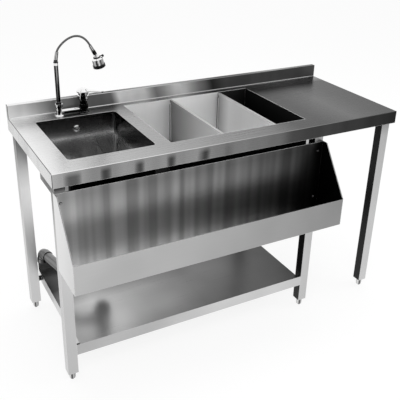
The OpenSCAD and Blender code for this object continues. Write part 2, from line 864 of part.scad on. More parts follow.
module ice_bin_casing() {
    out = bin_shell + bin_t;
    color("gray") place() bin_tray(out, bin_t, under_z - bin_t, bin_floor - out);
}

// Guide for one end of a divider: a small block with a slot, welded to the bin's wall.
guide_reach = 7;
guide_side = 6;
guide_top = 24;
slot_w = divider_t + 2 * divider_gap;

module guide() {
    h = bin_depth - guide_top - false_floor_z;
    translate([0, 0, bin_floor + false_floor_z]) difference() {
        translate([-slot_w / 2 - guide_side, 0, 0]) cube([slot_w + 2 * guide_side, guide_reach, h]);
        translate([-slot_w / 2, 1, -over]) cube([slot_w, guide_reach, h + 2 * over]);
    }
}

module divider_guides() {
    color("silver") place() {
        for (x = [divider_a, divider_b]) {
            translate([bin_x + x, bin_y, 0]) guide();
            translate([bin_x + x, bin_y + bin_d, 0]) mirror([0, 1, 0]) guide();
        }
    }
}

// Lift-out divider: a sheet that runs in the guides, with a boxed fold along its top.
module divider_at(x) {
    end_gap = 1 + divider_gap;
    top_gap = 3;
    hem_h = 12;
    color("silver") place() translate([bin_x + x, bin_y + end_gap, bin_floor + 0.3]) {
        translate([-divider_t / 2, 0, 0]) cube([divider_t, bin_d - 2 * end_gap, bin_depth - top_gap - 0.3]);
        translate([-divider_hem / 2, 0, bin_depth - top_gap - 0.3 - hem_h])
            cube([divider_hem, bin_d - 2 * end_gap, hem_h]);
    }
}

module divider_left() {
    divider_at(divider_a);
}

module divider_right() {
    divider_at(divider_b);
}

// Perforated lift-out floor between two places across the bin.
module ice_floor(x0, x1) {
    t = 1.2;
    clear = 3;
    pitch = 48;
    side_gap = guide_reach + clear;
    w = x1 - x0 - 2 * clear;
    d = bin_d - 2 * side_gap;
    nx = floor(w / pitch);
    ny = floor(d / pitch);
    skirt = false_floor_z - 0.3;
    color("silver") place() translate([bin_x + x0 + clear, bin_y + side_gap, bin_floor + 0.3]) difference() {
        cube([w, d, skirt]);
        translate([t, -over, -over]) cube([w - 2 * t, d + 2 * over, skirt - t + over]);
        for (i = [0:nx - 1]) {
            for (j = [0:ny - 1]) {
                translate([w / 2 + (i - (nx - 1) / 2) * pitch, d / 2 + (j - (ny - 1) / 2) * pitch, 0])
                    cylinder(d = drain_hole_d, h = skirt + over);
            }
        }
    }
}

module ice_floor_left() {
    ice_floor(0, divider_a - divider_hem / 2);
}

module ice_floor_right() {
    ice_floor(divider_a + divider_hem / 2, divider_b - divider_hem / 2);
}

module ice_drain() {
    flange_d = spigot_d + 18;
    flange_t = 2;
    drop = 70;
    shank_drop = bin_shell + bin_t + spigot_nut_h + 5;
    color("silver") place() translate([bin_drain_x, bin_drain_y, bin_floor + spacer_end]) difference() {
        union() {
            cylinder(d = flange_d, h = flange_t);
            translate([0, 0, -shank_drop]) cylinder(d = spigot_shank_d, h = shank_drop + eps);
            translate([0, 0, -drop]) cylinder(d = spigot_d, h = drop);
        }
        translate([0, 0, -drop - over]) cylinder(d = spigot_d - 4, h = drop + flange_t + 2 * over);
    }
}

module ice_drain_nut() {
    color("dimgray") place()
        translate([bin_drain_x, bin_drain_y, bin_floor - bin_shell - bin_t - spigot_nut_h - spacer_end])
            hex_ring(spigot_d + 16, spigot_shank_d + 0.2, spigot_nut_h);
}

// ---- Tap -----------------------------------------------------------------------------------

swivel_fit = 0.05;
collar_d = 30;
collar_z = 36;
rosette_h = 5;
rosette_taper = 6;
spout_rosette_d = 40;
mixer_rosette_d = 44;
spout_post_d = 24;
spout_post_h = 32;
mixer_post_d = 28;
mixer_post_h = 20;
mixer_ball_d = 38;
mixer_ball_rise = 11;
housing_neck_d = 30;
housing_neck_z = 34;
housing_z = 52;
housing_h = 30;
housing_flare_z = 47;
housing_ring_z = 59;
housing_ring_h = 12;
housing_ring_d = mixer_d + 6;
housing_wall = 3;
nut_washer_t = 3;
backnut_h = 9;
backnut_w = 27;
washer_d = 31;
shank_d = tail_d + 0.6;
shank_l = sheet_t + nut_washer_t + backnut_h + 3;
hole_gap = 0.5;

module tap_body() {
    color("lightgray") place() translate([spout_x, tap_y, top_h + spacer_end]) difference() {
        union() {
            cylinder(d1 = spout_rosette_d, d2 = spout_rosette_d - rosette_taper, h = rosette_h);
            translate([0, 0, rosette_h - eps]) cylinder(d = spout_post_d, h = spout_post_h);
            translate([0, 0, collar_z]) cylinder(d = collar_d, h = socket_top - collar_z);
            translate([tap_span, 0, 0]) {
                cylinder(d1 = mixer_rosette_d, d2 = mixer_rosette_d - rosette_taper, h = rosette_h);
                translate([0, 0, rosette_h - eps]) cylinder(d = mixer_post_d, h = mixer_post_h);
                translate([0, 0, bar_z + mixer_ball_rise]) sphere(d = mixer_ball_d);
                translate([0, 0, housing_neck_z])
                    cylinder(d = housing_neck_d, h = housing_z - housing_neck_z + eps);
                translate([0, 0, housing_z]) cylinder(d = mixer_d, h = housing_h);
                translate([0, 0, housing_flare_z])
                    cylinder(d1 = housing_neck_d, d2 = housing_ring_d, h = housing_ring_z - housing_flare_z);
                translate([0, 0, housing_ring_z - eps]) cylinder(d = housing_ring_d, h = housing_ring_h);
                translate([0, 0, housing_ring_z + housing_ring_h - 2 * eps])
                    cylinder(d1 = housing_ring_d, d2 = mixer_d, h = 2.5);
            }
            translate([0, 0, bar_z]) rotate([0, 90, 0]) cylinder(d = bar_d, h = tap_span);
            for (x = [0, tap_span]) {
                translate([x, 0, -shank_l]) cylinder(d = shank_d, h = shank_l + eps);
                translate([x, 0, -tail_l]) cylinder(d = tail_d, h = tail_l);
            }
        }
        translate([0, 0, socket_floor]) cylinder(d = riser_d + 2 * swivel_fit, h = socket_top);
        translate([tap_span, 0, housing_z + 4])
            cylinder(d = mixer_d - 2 * housing_wall, h = housing_h + 10);
        for (x = [0, tap_span]) {
            translate([x, 0, -tail_l - over]) cylinder(d = tail_d - 7, h = tail_l + 8);
        }
    }
}

module tap_backnuts() {
    color("goldenrod") place() {
        for (x = [spout_x, mixer_x]) {
            translate([x, tap_y, under_z - nut_washer_t - spacer_end])
                tube(washer_d, shank_d + 0.1, nut_washer_t);
            translate([x, tap_y, under_z - nut_washer_t - backnut_h - 2 * spacer_end])
                hex_ring(backnut_w, shank_d + 0.1, backnut_h);
        }
    }
}

// Ceramic cartridge in the mixer's housing, with a bore for the spindle.
spindle_d = 12;
cartridge_top = top_h + 78;

module mixer_cartridge() {
    z0 = top_h + 56 + 2 * spacer_end;
    color("white") place() translate([mixer_x, tap_y, z0]) difference() {
        cylinder(d = mixer_d - 6.1, h = cartridge_top - z0);
        translate([0, 0, 4]) cylinder(d = spindle_d + 0.14, h = cartridge_top - z0);
    }
}

module mixer_spindle() {
    z0 = top_h + 60 + 3 * spacer_end;
    color("gray") place() translate([mixer_x, tap_y, z0]) rotate([0, 0, lever_rest]) difference() {
        cylinder(d = spindle_d, h = cartridge_top - z0 + 6);
        translate([-spindle_d, -2.6, cartridge_top - z0 - 4]) cube([2 * spindle_d, 5.2, 12]);
    }
}

// The hood is a hollow dome over the housing; the lever is one flat tapering bar from it.
module mixer_lever() {
    tongue_w = 4.6;
    tongue_l = 8;
    dome_r = hood_d / 2;
    flat = 0.62;
    color("white") place() translate([mixer_x, tap_y, lever_pivot_z]) rotate([0, 0, lever_rest]) {
        difference() {
            union() {
                translate([0, 0, 2]) cylinder(r = dome_r, h = 5);
                translate([0, 0, 7 - eps]) cylinder(r1 = dome_r, r2 = dome_r * flat, h = 9);
                translate([dome_r * 0.5, 0, 6]) rotate([0, -4, 0]) linear_extrude(5)
                    polygon([[0, -13], [lever_reach - dome_r * 0.5 - 5, -6], [lever_reach - dome_r * 0.5, -3],
                        [lever_reach - dome_r * 0.5, 3], [lever_reach - dome_r * 0.5 - 5, 6], [0, 13]]);
            }
            translate([0, 0, 1]) cylinder(r = mixer_d / 2 + 1.5, h = 7);
            translate([0, 0, 8 - eps]) cylinder(r1 = mixer_d / 2 + 1.5, r2 = 9, h = 5);
        }
        translate([-tongue_l / 2, -tongue_w / 2, -5]) cube([tongue_l, tongue_w, 20]);
    }
}

module spout_riser() {
    z0 = top_h + riser_foot;
    color("gray") place() translate([spout_x, tap_y, z0]) {
        difference() {
            union() {
                cylinder(d = riser_d, h = top_h + riser_top - z0);
                translate([0, 0, socket_top - riser_foot + 0.3]) cylinder(d = riser_d + 6, h = 8);
            }
            translate([0, 0, -over]) cylinder(d = riser_d - 3, h = top_h + riser_top - z0 + 2 * over);
        }
    }
}

// The neck's line in the X-Z plane: a straight end in each sleeve and one cubic between them.
neck_foot = [spout_x, top_h + riser_top + neck_foot_rise];
neck_foot_dir = [sin(neck_lean), cos(neck_lean)];
neck_a = neck_foot + foot_sleeve_l * neck_foot_dir;
neck_b = neck_a + neck_pull_foot * neck_foot_dir;
neck_end_dir = [sin(neck_fall), -cos(neck_fall)];
ball_c = [spout_x + ball_reach, top_h + ball_z];
neck_end = ball_c - ball_drop * neck_end_dir;
neck_d0 = neck_end - head_sleeve_l * neck_end_dir;
neck_c = neck_d0 - neck_pull_head * neck_end_dir;
function neck_at(t) = let (s = 1 - t)
    s * s * s * neck_a + 3 * s * s * t * neck_b + 3 * s * t * t * neck_c + t * t * t * neck_d0;
function neck_dir(t) = let (s = 1 - t,
        v = s * s * (neck_b - neck_a) + 2 * s * t * (neck_c - neck_b) + t * t * (neck_d0 - neck_c))
    v / norm(v);

// Places along the neck, each a point and a direction: both straight ends and the cubic.
function neck_places(n) = concat(
    [[neck_foot, neck_foot_dir], [neck_foot + foot_sleeve_l / 2 * neck_foot_dir, neck_foot_dir]],
    [for (i = [0:n - 1]) [neck_at(i / (n - 1)), neck_dir(i / (n - 1))]],
    [[neck_end - head_sleeve_l / 2 * neck_end_dir, neck_end_dir], [neck_end, neck_end_dir]]);

neck_sides = 8;
function neck_ring(place, r) = let (p = place[0], d = place[1])
    [for (k = [0:neck_sides - 1]) let (a = (k + 0.5) * 360 / neck_sides, u = r * cos(a))
        [p[0] + u * d[1], r * sin(a), p[1] - u * d[0]]];

// Faces that join ring i to the next, and a flat ring between two rings of the same end.
function band(i, j) = let (a = i * neck_sides, b = j * neck_sides)
    [for (k = [0:neck_sides - 1]) let (q = (k + 1) % neck_sides)
        each [[a + k, a + q, b + q], [a + k, b + q, b + k]]];

// A ribbed tube with a plain bore: two rings a rib outside, a ring every few ribs inside.
module neck_hose() {
    rib = 0.7;
    bore_rings = 19;
    outside = neck_places(2 * neck_ribs + 1);
    inside = neck_places(bore_rings);
    n = len(outside);
    m = len(inside);
    ribbed = [for (i = [0:n - 1]) each
        neck_ring(outside[i], neck_d / 2 - (i > 1 && i < n - 2 && i % 2 == 1 ? rib : 0))];
    bore = [for (i = [0:m - 1]) each neck_ring(inside[i], neck_bore / 2)];
    faces = concat(
        [for (i = [0:n - 2]) each band(i, i + 1)],
        [for (i = [0:m - 2]) each band(n + i + 1, n + i)],
        band(n, 0),
        band(n - 1, n + m - 1));
    color("gray") place() translate([0, tap_y, 0])
        polyhedron(points = concat(ribbed, bore), faces = faces);
}

// Chrome ends of the neck: a sleeve and ring above the riser, and the same above the spray head.
ring_d = riser_d + 2;
ball_r = 7;

module neck_sleeve(l) {
    difference() {
        cylinder(d1 = 15.5, d2 = neck_d + 3, h = l);
        translate([0, 0, 0.1]) cylinder(d = neck_d + 0.6, h = l);
    }
}

module neck_ferrules() {
    ring_h = neck_foot_rise - 2;
    color("silver") place() translate([0, tap_y, 0]) {
        translate([spout_x, 0, top_h + riser_top + spacer_end]) cylinder(d = ring_d, h = ring_h);
        translate([neck_foot[0], 0, neck_foot[1]]) rotate([0, neck_lean, 0]) {
            translate([0, 0, -4.1]) cylinder(d = 16, h = 4);
            translate([0, 0, -0.12]) neck_sleeve(foot_sleeve_l);
        }
        translate([neck_end[0], 0, neck_end[1]]) rotate([0, 180 - neck_fall, 0]) {
            translate([0, 0, 0.12]) mirror([0, 0, 1]) neck_sleeve(head_sleeve_l);
            translate([0, 0, 0.1]) cylinder(d = 16, h = ball_drop - 10);
            translate([0, 0, ball_drop - 11]) cylinder(d = 7, h = 8);
            translate([0, 0, ball_drop]) sphere(r = ball_r);
        }
    }
}

// Everything on the spray head is turned about the ball's centre.
module at_head() {
    place() translate([ball_c[0], tap_y, ball_c[1]]) rotate([0, 180 - head_tilt, 0]) children();
}

ball_fit = 0.3;
shoulder = 6;
face_t = 13;
cup_h = head_h - face_t;

module spray_head() {
    flutes = 16;
    flute_r = 2;
    color("silver") at_head() difference() {
        union() {
            translate([0, 0, -4]) cylinder(d1 = 19, d2 = 23.6, h = 4.8);
            translate([0, 0, 0.8 - eps]) cylinder(d = 22, h = shoulder - 0.8 + 2 * eps);
            translate([0, 0, shoulder - eps]) cylinder(d1 = 30, d2 = head_d - 1, h = 5);
            translate([0, 0, shoulder + 5 - 2 * eps])
                cylinder(d1 = head_d - 1, d2 = head_d, h = cup_h - 5);
        }
        sphere(r = ball_r + ball_fit);
        translate([0, 0, -1.2]) cylinder(d = 12.6, h = 2);
        translate([0, 0, -4.1]) cylinder(d1 = 16, d2 = 12.6, h = 3);
        translate([0, 0, 10]) cylinder(d1 = 14, d2 = head_d - 8, h = cup_h - 3);
        for (i = [0:flutes - 1]) {
            rotate([0, 0, i * 360 / flutes]) translate([head_d / 2 + 1, 0, shoulder + 9])
                cylinder(r = flute_r, h = cup_h);
        }
    }
}

module spray_face() {
    rim_d = head_d + 4;
    nozzles = 12;
    color("black") at_head() translate([0, 0, shoulder + cup_h + spacer_end]) difference() {
        union() {
            cylinder(d = rim_d, h = face_t - 2);
            translate([0, 0, face_t - 2 - eps]) cylinder(d1 = rim_d, d2 = rim_d - 6, h = 2);
        }
        translate([0, 0, face_t - 2]) cylinder(d = rim_d - 14, h = 3);
        for (i = [0:nozzles - 1]) {
            rotate([0, 0, i * 360 / nozzles]) translate([13, 0, face_t - 5]) cylinder(d = 2.4, h = 4);
        }
        translate([0, 0, face_t - 6]) cylinder(d = 12, h = 5);
    }
}

// The selector is a ring round the collar with one upright knob at the cup's shoulder; it turns
// about the head's axis.
module spray_selector() {
    ring_in = 22.6;
    ring_out = 28;
    ring_h = 4.5;
    knob_r = 25.6;
    knob_d = 9;
    knob_h = 8.8;
    bevel = 2;
    color("black") at_head() translate([0, 0, shoulder - ring_h - 0.3]) {
        tube(ring_out, ring_in, ring_h);
        translate([-12.4, 0, ring_h / 2]) rotate([0, -90, 0]) cylinder(d = 4, h = knob_r - 12.4);
        translate([-knob_r, 0, -0.2]) {
            cylinder(d1 = knob_d - bevel, d2 = knob_d, h = bevel);
            translate([0, 0, bevel - eps]) cylinder(d = knob_d, h = knob_h - 2 * bevel + 2 * eps);
            translate([0, 0, knob_h - bevel]) cylinder(d1 = knob_d, d2 = knob_d - bevel, h = bevel);
        }
    }
}

worktop();
channel_front();
channel_back();
channel_left();
channel_middle();
channel_bay();
channel_right();
top_stiffener();
leg_front_left();
leg_back_left();
leg_front_middle();
leg_back_middle();
leg_front_right();
leg_back_right();
leg_plugs();
foot_front_left();
foot_back_left();
foot_front_middle();
foot_back_middle();
foot_front_right();
foot_back_right();
undershelf();
shelf_spacers();
shelf_screws();
rail_tray();
rail_end_left();
rail_end_right();
rail_screws();
sink_bowl();
overflow_rosette();
overflow_pipe();
waste_flange();
waste_gasket();
waste_nut();
basket_strainer();
tailpiece();
bottle_trap();
waste_pipe();
ice_bin_liner();
ice_bin_foam();
ice_bin_casing();
divider_guides();
divider_left();
divider_right();
ice_floor_left();
ice_floor_right();
ice_drain();
ice_drain_nut();
tap_body();
tap_backnuts();
mixer_cartridge();
mixer_spindle();
mixer_lever();
spout_riser();
neck_hose();
neck_ferrules();
spray_head();
spray_face();
spray_selector();
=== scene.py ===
"""Looks of the bar station: finishes, fine pieces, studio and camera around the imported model."""

import logging
import math
from dataclasses import dataclass
from enum import Enum
from functools import cached_property
from typing import Sequence, Union

import bmesh
import bpy
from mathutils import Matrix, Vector


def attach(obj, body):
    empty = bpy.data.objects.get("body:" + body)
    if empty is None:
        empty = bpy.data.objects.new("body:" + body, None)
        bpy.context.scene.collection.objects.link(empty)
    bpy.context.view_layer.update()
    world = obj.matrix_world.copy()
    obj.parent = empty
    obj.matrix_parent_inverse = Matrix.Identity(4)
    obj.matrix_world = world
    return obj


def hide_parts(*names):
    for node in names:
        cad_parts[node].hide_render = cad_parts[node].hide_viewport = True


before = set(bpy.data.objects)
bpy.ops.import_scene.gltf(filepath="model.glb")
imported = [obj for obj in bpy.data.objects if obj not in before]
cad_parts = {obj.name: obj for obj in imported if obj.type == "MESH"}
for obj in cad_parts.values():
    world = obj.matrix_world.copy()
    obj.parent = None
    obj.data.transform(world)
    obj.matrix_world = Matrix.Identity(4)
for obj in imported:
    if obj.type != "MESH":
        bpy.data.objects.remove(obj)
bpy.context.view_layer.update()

LOG = logging.getLogger("bar_station")

MM = 0.001
# The station frame starts on the floor under the worktop's front left corner, the part frame mid-way.
HALF_LENGTH_MM = 750.0
FRONT_SHIFT_MM = 230.0

Rgba = tuple[float, float, float, float]
Material = bpy.types.Material
Node = bpy.types.Node
Socket = bpy.types.NodeSocket
Tree = bpy.types.NodeTree
Value = Union[Node, Socket, float, Sequence[float]]


def station(x: float, y: float, z: float) -> Vector:
    """Gives the part-frame point of a station-frame point.

    Args:
        x: Millimetres from the worktop's left end.
        y: Millimetres from the worktop's front edge.
        z: Millimetres above the floor.

    Returns:
        The point in metres.
    """
    return Vector(((x - HALF_LENGTH_MM) * MM, (y - FRONT_SHIFT_MM) * MM, z * MM))


# ---- Shader helpers ---------------------------------------------------------------------------

# Settings of a mix node that lays one colour over another, and of one that multiplies two.
LAY = {"data_type": "RGBA"}
TIMES = {"data_type": "RGBA", "blend_type": "MULTIPLY"}
# A noise keeps near 0.5; a pattern takes its darkest and lightest from these two values of it.
NARROW, MIDDLE, WIDE = (0.36, 0.64), (0.3, 0.7), (0.25, 0.75)


def linear(hex_colour: str) -> Rgba:
    """Turns an sRGB hex colour into linear RGBA.

    Args:
        hex_colour: A colour such as "#C0C2C4".

    Returns:
        Linear red, green, blue and an alpha of 1.
    """
    parts = [int(hex_colour[i : i + 2], 16) / 255 for i in (1, 3, 5)]
    flat = [c / 12.92 if c <= 0.04045 else ((c + 0.055) / 1.055) ** 2.4 for c in parts]
    return (flat[0], flat[1], flat[2], 1.0)


def grey(level: float) -> Rgba:
    """Gives a neutral grey in linear RGBA.

    Args:
        level: sRGB level from 0 to 255.

    Returns:
        Linear red, green, blue and an alpha of 1.
    """
    return linear("#" + f"{int(round(level)):02X}" * 3)


def add_node(
    tree: Tree, kind: str, inputs: dict[str | int, Value] | Sequence[Value] = (), **settings: object
) -> Node:
    """Adds a node with its settings and links.

    Args:
        tree: The node tree.
        kind: The node's type name without "ShaderNode".
        inputs: Values, sockets or nodes, in order or by input name or number. A node gives its first output.
        settings: Attributes of the node.

    Returns:
        The new node.
    """
    made = tree.nodes.new("ShaderNode" + kind)
    for key, value in settings.items():
        setattr(made, key, value)
    for key, value in inputs.items() if isinstance(inputs, dict) else enumerate(inputs):
        if isinstance(value, Node):
            value = next(output for output in value.outputs if output.enabled)
        if isinstance(value, Socket):
            tree.links.new(value, made.inputs[key])
        else:
            made.inputs[key].default_value = value
    return made


def emptied(owner: Material | bpy.types.World) -> Tree:
    """Gives a material or a world a node tree with no nodes.

    Args:
        owner: The material or world.

    Returns:
        Its tree.
    """
    owner.use_nodes = True
    owner.node_tree.nodes.clear()
    return owner.node_tree


def set_stops(ramp: Node, stops: Sequence[tuple[float, float]]) -> None:
    """Sets a colour ramp's stops.

    Args:
        ramp: The ramp's node.
        stops: Pairs of a position and an sRGB grey level, in order.
    """
    marks = ramp.color_ramp.elements
    while len(marks) < len(stops):
        marks.new(1.0)
    for mark, (at, level) in zip(marks, stops):
        mark.position = at
        mark.color = grey(level)


# ---- Finishes, with painted light and shade ---------------------------------------------------

# Level direction, from left to right in the main view, along which the painted reflection bands of curved
# chrome are laid.
STUDIO_SIDE = (0.879, -0.476, 0.0)
# A 240 grit scratch is 0.05 mm wide. It is drawn 1.4 mm wide, so that the grain shows close by.
SCRATCH_WIDTH_MM = 1.4
SCRATCH_LENGTH_MM = 150.0
SCRATCH_DEPTH_MM = 0.2
SCRATCH_SHADE = (0.98, 1.02)
# A painted reflection streak runs over a whole sheet's height. The painted sheen is wide and has a size along
# X, Y and Z.
REFLECTION_STREAK_LENGTH_MM = 3000.0
SHEEN_MM = (310.0, 260.0, 420.0)
# The painted dark reflection bands in the worktop's front: how far they sway, over which lengths, and how
# soft they are.
BAND_SWAY = 0.016
BAND_SWAY_MM = (90.0, 90.0, 500.0)
BAND_SOFTNESS = 0.35
# Roughness that a dull stretch has more than the rest of its sheet.
DULLING = 0.3
# Least share of each of its two ways that a fold's rounding looks, and the width of the painted glint along a
# sheet's edges.
FOLD_SHARE = 0.25
FOLD_EDGE_MM = 1.6
# Grey levels of the painted dark on plate that looks down and of the painted glint on its edges, and the size
# and depth of haze and orange peel.
CHROME_UNDERSIDE_SHADE = 26
CHROME_EDGE_GLINT = 242
CHROME_EDGE_MM = 0.5
HAZE_MM = 14.0
HAZE_SHADE = (0.9, 1.06)
PEEL_MM = 6.0
PEEL_DEPTH_MM = 0.3
# A moulded skin's colour changes over patches this many grains wide.
PATCH_GRAINS = 14
GRAIN_DEPTH_MM = 0.3
# Cosine between face and rounded edge at which the painted glint and wear on edges start and are full, and
# their share of the colour.
GLINT_AND_WEAR_STARTS, GLINT_AND_WEAR_FULL, GLINT_AND_WEAR_SHARE = 0.985, 0.90, 0.8


class Axis(Enum):
    """Axes of the part, by their place in a vector."""

    X = 0
    Y = 1
    Z = 2


X, Y, Z = Axis


class Face(Enum):
    """Directions a sheet's face can look, as axis and sign."""

    UP = (Z, 1)
    DOWN = (Z, -1)
    FRONT = (Y, -1)
    BACK = (Y, 1)
    LEFT = (X, -1)
    RIGHT = (X, 1)


UP, DOWN, FRONT, BACK, LEFT, RIGHT = Face
SHIFT_MM = {X: HALF_LENGTH_MM, Y: FRONT_SHIFT_MM, Z: 0.0}


@dataclass(frozen=True)
class Span:
    """A stretch of the object along one axis, with soft ends.

    Args:
        axis: The axis.
        low: Its start in station millimetres.
        high: Its end in station millimetres.
        feather: Width of each soft end in millimetres.
    """

    axis: Axis
    low: float
    high: float
    feather: float = 1.0


@dataclass(frozen=True)
class FaceTone:
    """Painted light and shade of the faces that look one way, with an even change along one axis.

    Args:
        face: The way the faces look.
        along: Axis along which the tone changes.
        stops: Pairs of a station coordinate in millimetres and an sRGB grey level.
        within: Stretch in which the tone holds, or None for all of it.
        fold: Second way that a fold's rounding looks, when the tone is painted along a fold.
        lift: Stretch over which the tone is multiplied, its factor at the start and at the end.
        skew: How far the tones lean along their axis for each millimetre of height.
    """

    face: Face
    along: Axis
    stops: tuple[tuple[float, float], ...]
    within: Span | None = None
    fold: Face | None = None
    lift: tuple[Span, float, float] | None = None
    skew: float = 0.0


@dataclass(frozen=True)
class Bands:
    """Painted dark reflection bands, upright, at even distances on the front of the sheet.

    Args:
        period_mm: Distance from band to band.
        first_mm: Station X of the first band's middle.
        depth: Share of light that a band takes.
        width: Share of the period that is dark.
        fade: Stretch of X over which the bands die away.
        rise: Stretch of Z over which their tops die away.
    """

    period_mm: float
    first_mm: float
    depth: float
    width: float
    fade: Span
    rise: Span


class Surface:
    """A material in the making, with where each point of the object lies and looks."""

    def __init__(self, name: str) -> None:
        """Starts the material.

        Args:
            name: Material name.
        """
        self.material = bpy.data.materials.new(name)
        self.tree = emptied(self.material)
        coords = add_node(self.tree, "TexCoord").outputs
        self.point, self.normal = coords["Object"], coords["Normal"]

    @cached_property
    def place(self) -> Sequence[Socket]:
        """Gives the object coordinates, axis by axis."""
        return add_node(self.tree, "SeparateXYZ", (self.point,)).outputs

    @cached_property
    def way(self) -> Sequence[Socket]:
        """Gives the object normal, axis by axis."""
        return add_node(self.tree, "SeparateXYZ", (self.normal,)).outputs

    def pattern(
        self, period_mm: Sequence[float], detail: float = 2.0, phase: Sequence[float] = (0.0, 0.0, 0.0)
    ) -> Node:
        """Makes an uneven pattern whose features have a real size along each axis.

        Args:
            period_mm: Feature size along X, Y and Z.
            detail: Octaves of finer noise.
            phase: Shift of the pattern, in features.

        Returns:
            The node that gives the pattern.
        """
        scale = [1 / (p * MM) for p in period_mm]
        placed = add_node(self.tree, "Mapping", {"Vector": self.point, "Scale": scale, "Location": phase})
        noise = {"Vector": placed, "Scale": 1.0, "Detail": detail, "Roughness": 0.5}
        return add_node(self.tree, "TexNoise", noise)

    def looks(self, face: Face, least: float = 0.5) -> Node:
        """Tells whether a point's surface looks one way.

        Args:
            face: The way.
            least: Least share of the normal along it.

        Returns:
            A node that gives 1 where it does, else 0.
        """
        axis, sign = face.value
        share = add_node(self.tree, "Math", (self.way[axis.value], float(sign)), operation="MULTIPLY")
        return add_node(self.tree, "Math", (share, least), operation="GREATER_THAN")

    def inside(self, span: Span) -> Node:
        """Tells whether a point lies in a stretch.

        Args:
            span: The stretch.

        Returns:
            A node that goes from 0 to 1 and back over the soft ends.
        """
        at, offset, half = self.place[span.axis.value], SHIFT_MM[span.axis], span.feather / 2
        low, high = span.low - offset, span.high - offset
        first = add_node(self.tree, "MapRange", (at, (low - half) * MM, (low + half) * MM, 0.0, 1.0))
        last = add_node(self.tree, "MapRange", (at, (high - half) * MM, (high + half) * MM, 1.0, 0.0))
        return add_node(self.tree, "Math", (first, last), operation="MULTIPLY")

    def painted_glint_and_wear(self, colour: Value, edge: Rgba, width_mm: float) -> Node:
        """Lays a lighter line along sharp edges: a painted glint where a fold catches the light, and wear.

        Args:
            colour: Colour of the face.
            edge: Linear colour of the edge.
            width_mm: Width of the line.

        Returns:
            The node that gives the colour.
        """
        rounded = add_node(self.tree, "Bevel", {"Radius": width_mm * MM}, samples=6)
        true_way = add_node(self.tree, "NewGeometry").outputs["Normal"]
        same = add_node(self.tree, "VectorMath", (rounded, true_way), operation="DOT_PRODUCT")
        share = add_node(self.tree, "MapRange", (same, GLINT_AND_WEAR_STARTS, GLINT_AND_WEAR_FULL, 0.0, GLINT_AND_WEAR_SHARE))
        return add_node(self.tree, "Mix", {0: share, 6: colour, 7: edge}, **LAY)

    def close(self, inputs: dict[str, Value], height: Node, relief: float, depth_mm: float) -> Material:
        """Ends the material with its relief, its Principled shader and its output.

        Args:
            inputs: What the shader's sockets get.
            height: Pattern that the relief follows.
            relief: Strength of the relief.
            depth_mm: Its depth.

        Returns:
            The material.
        """
        bump = add_node(self.tree, "Bump", {"Strength": relief, "Distance": depth_mm * MM, "Height": height})
        shader = add_node(self.tree, "BsdfPrincipled", inputs | {"Normal": bump})
        add_node(self.tree, "OutputMaterial", (shader,))
        return self.material


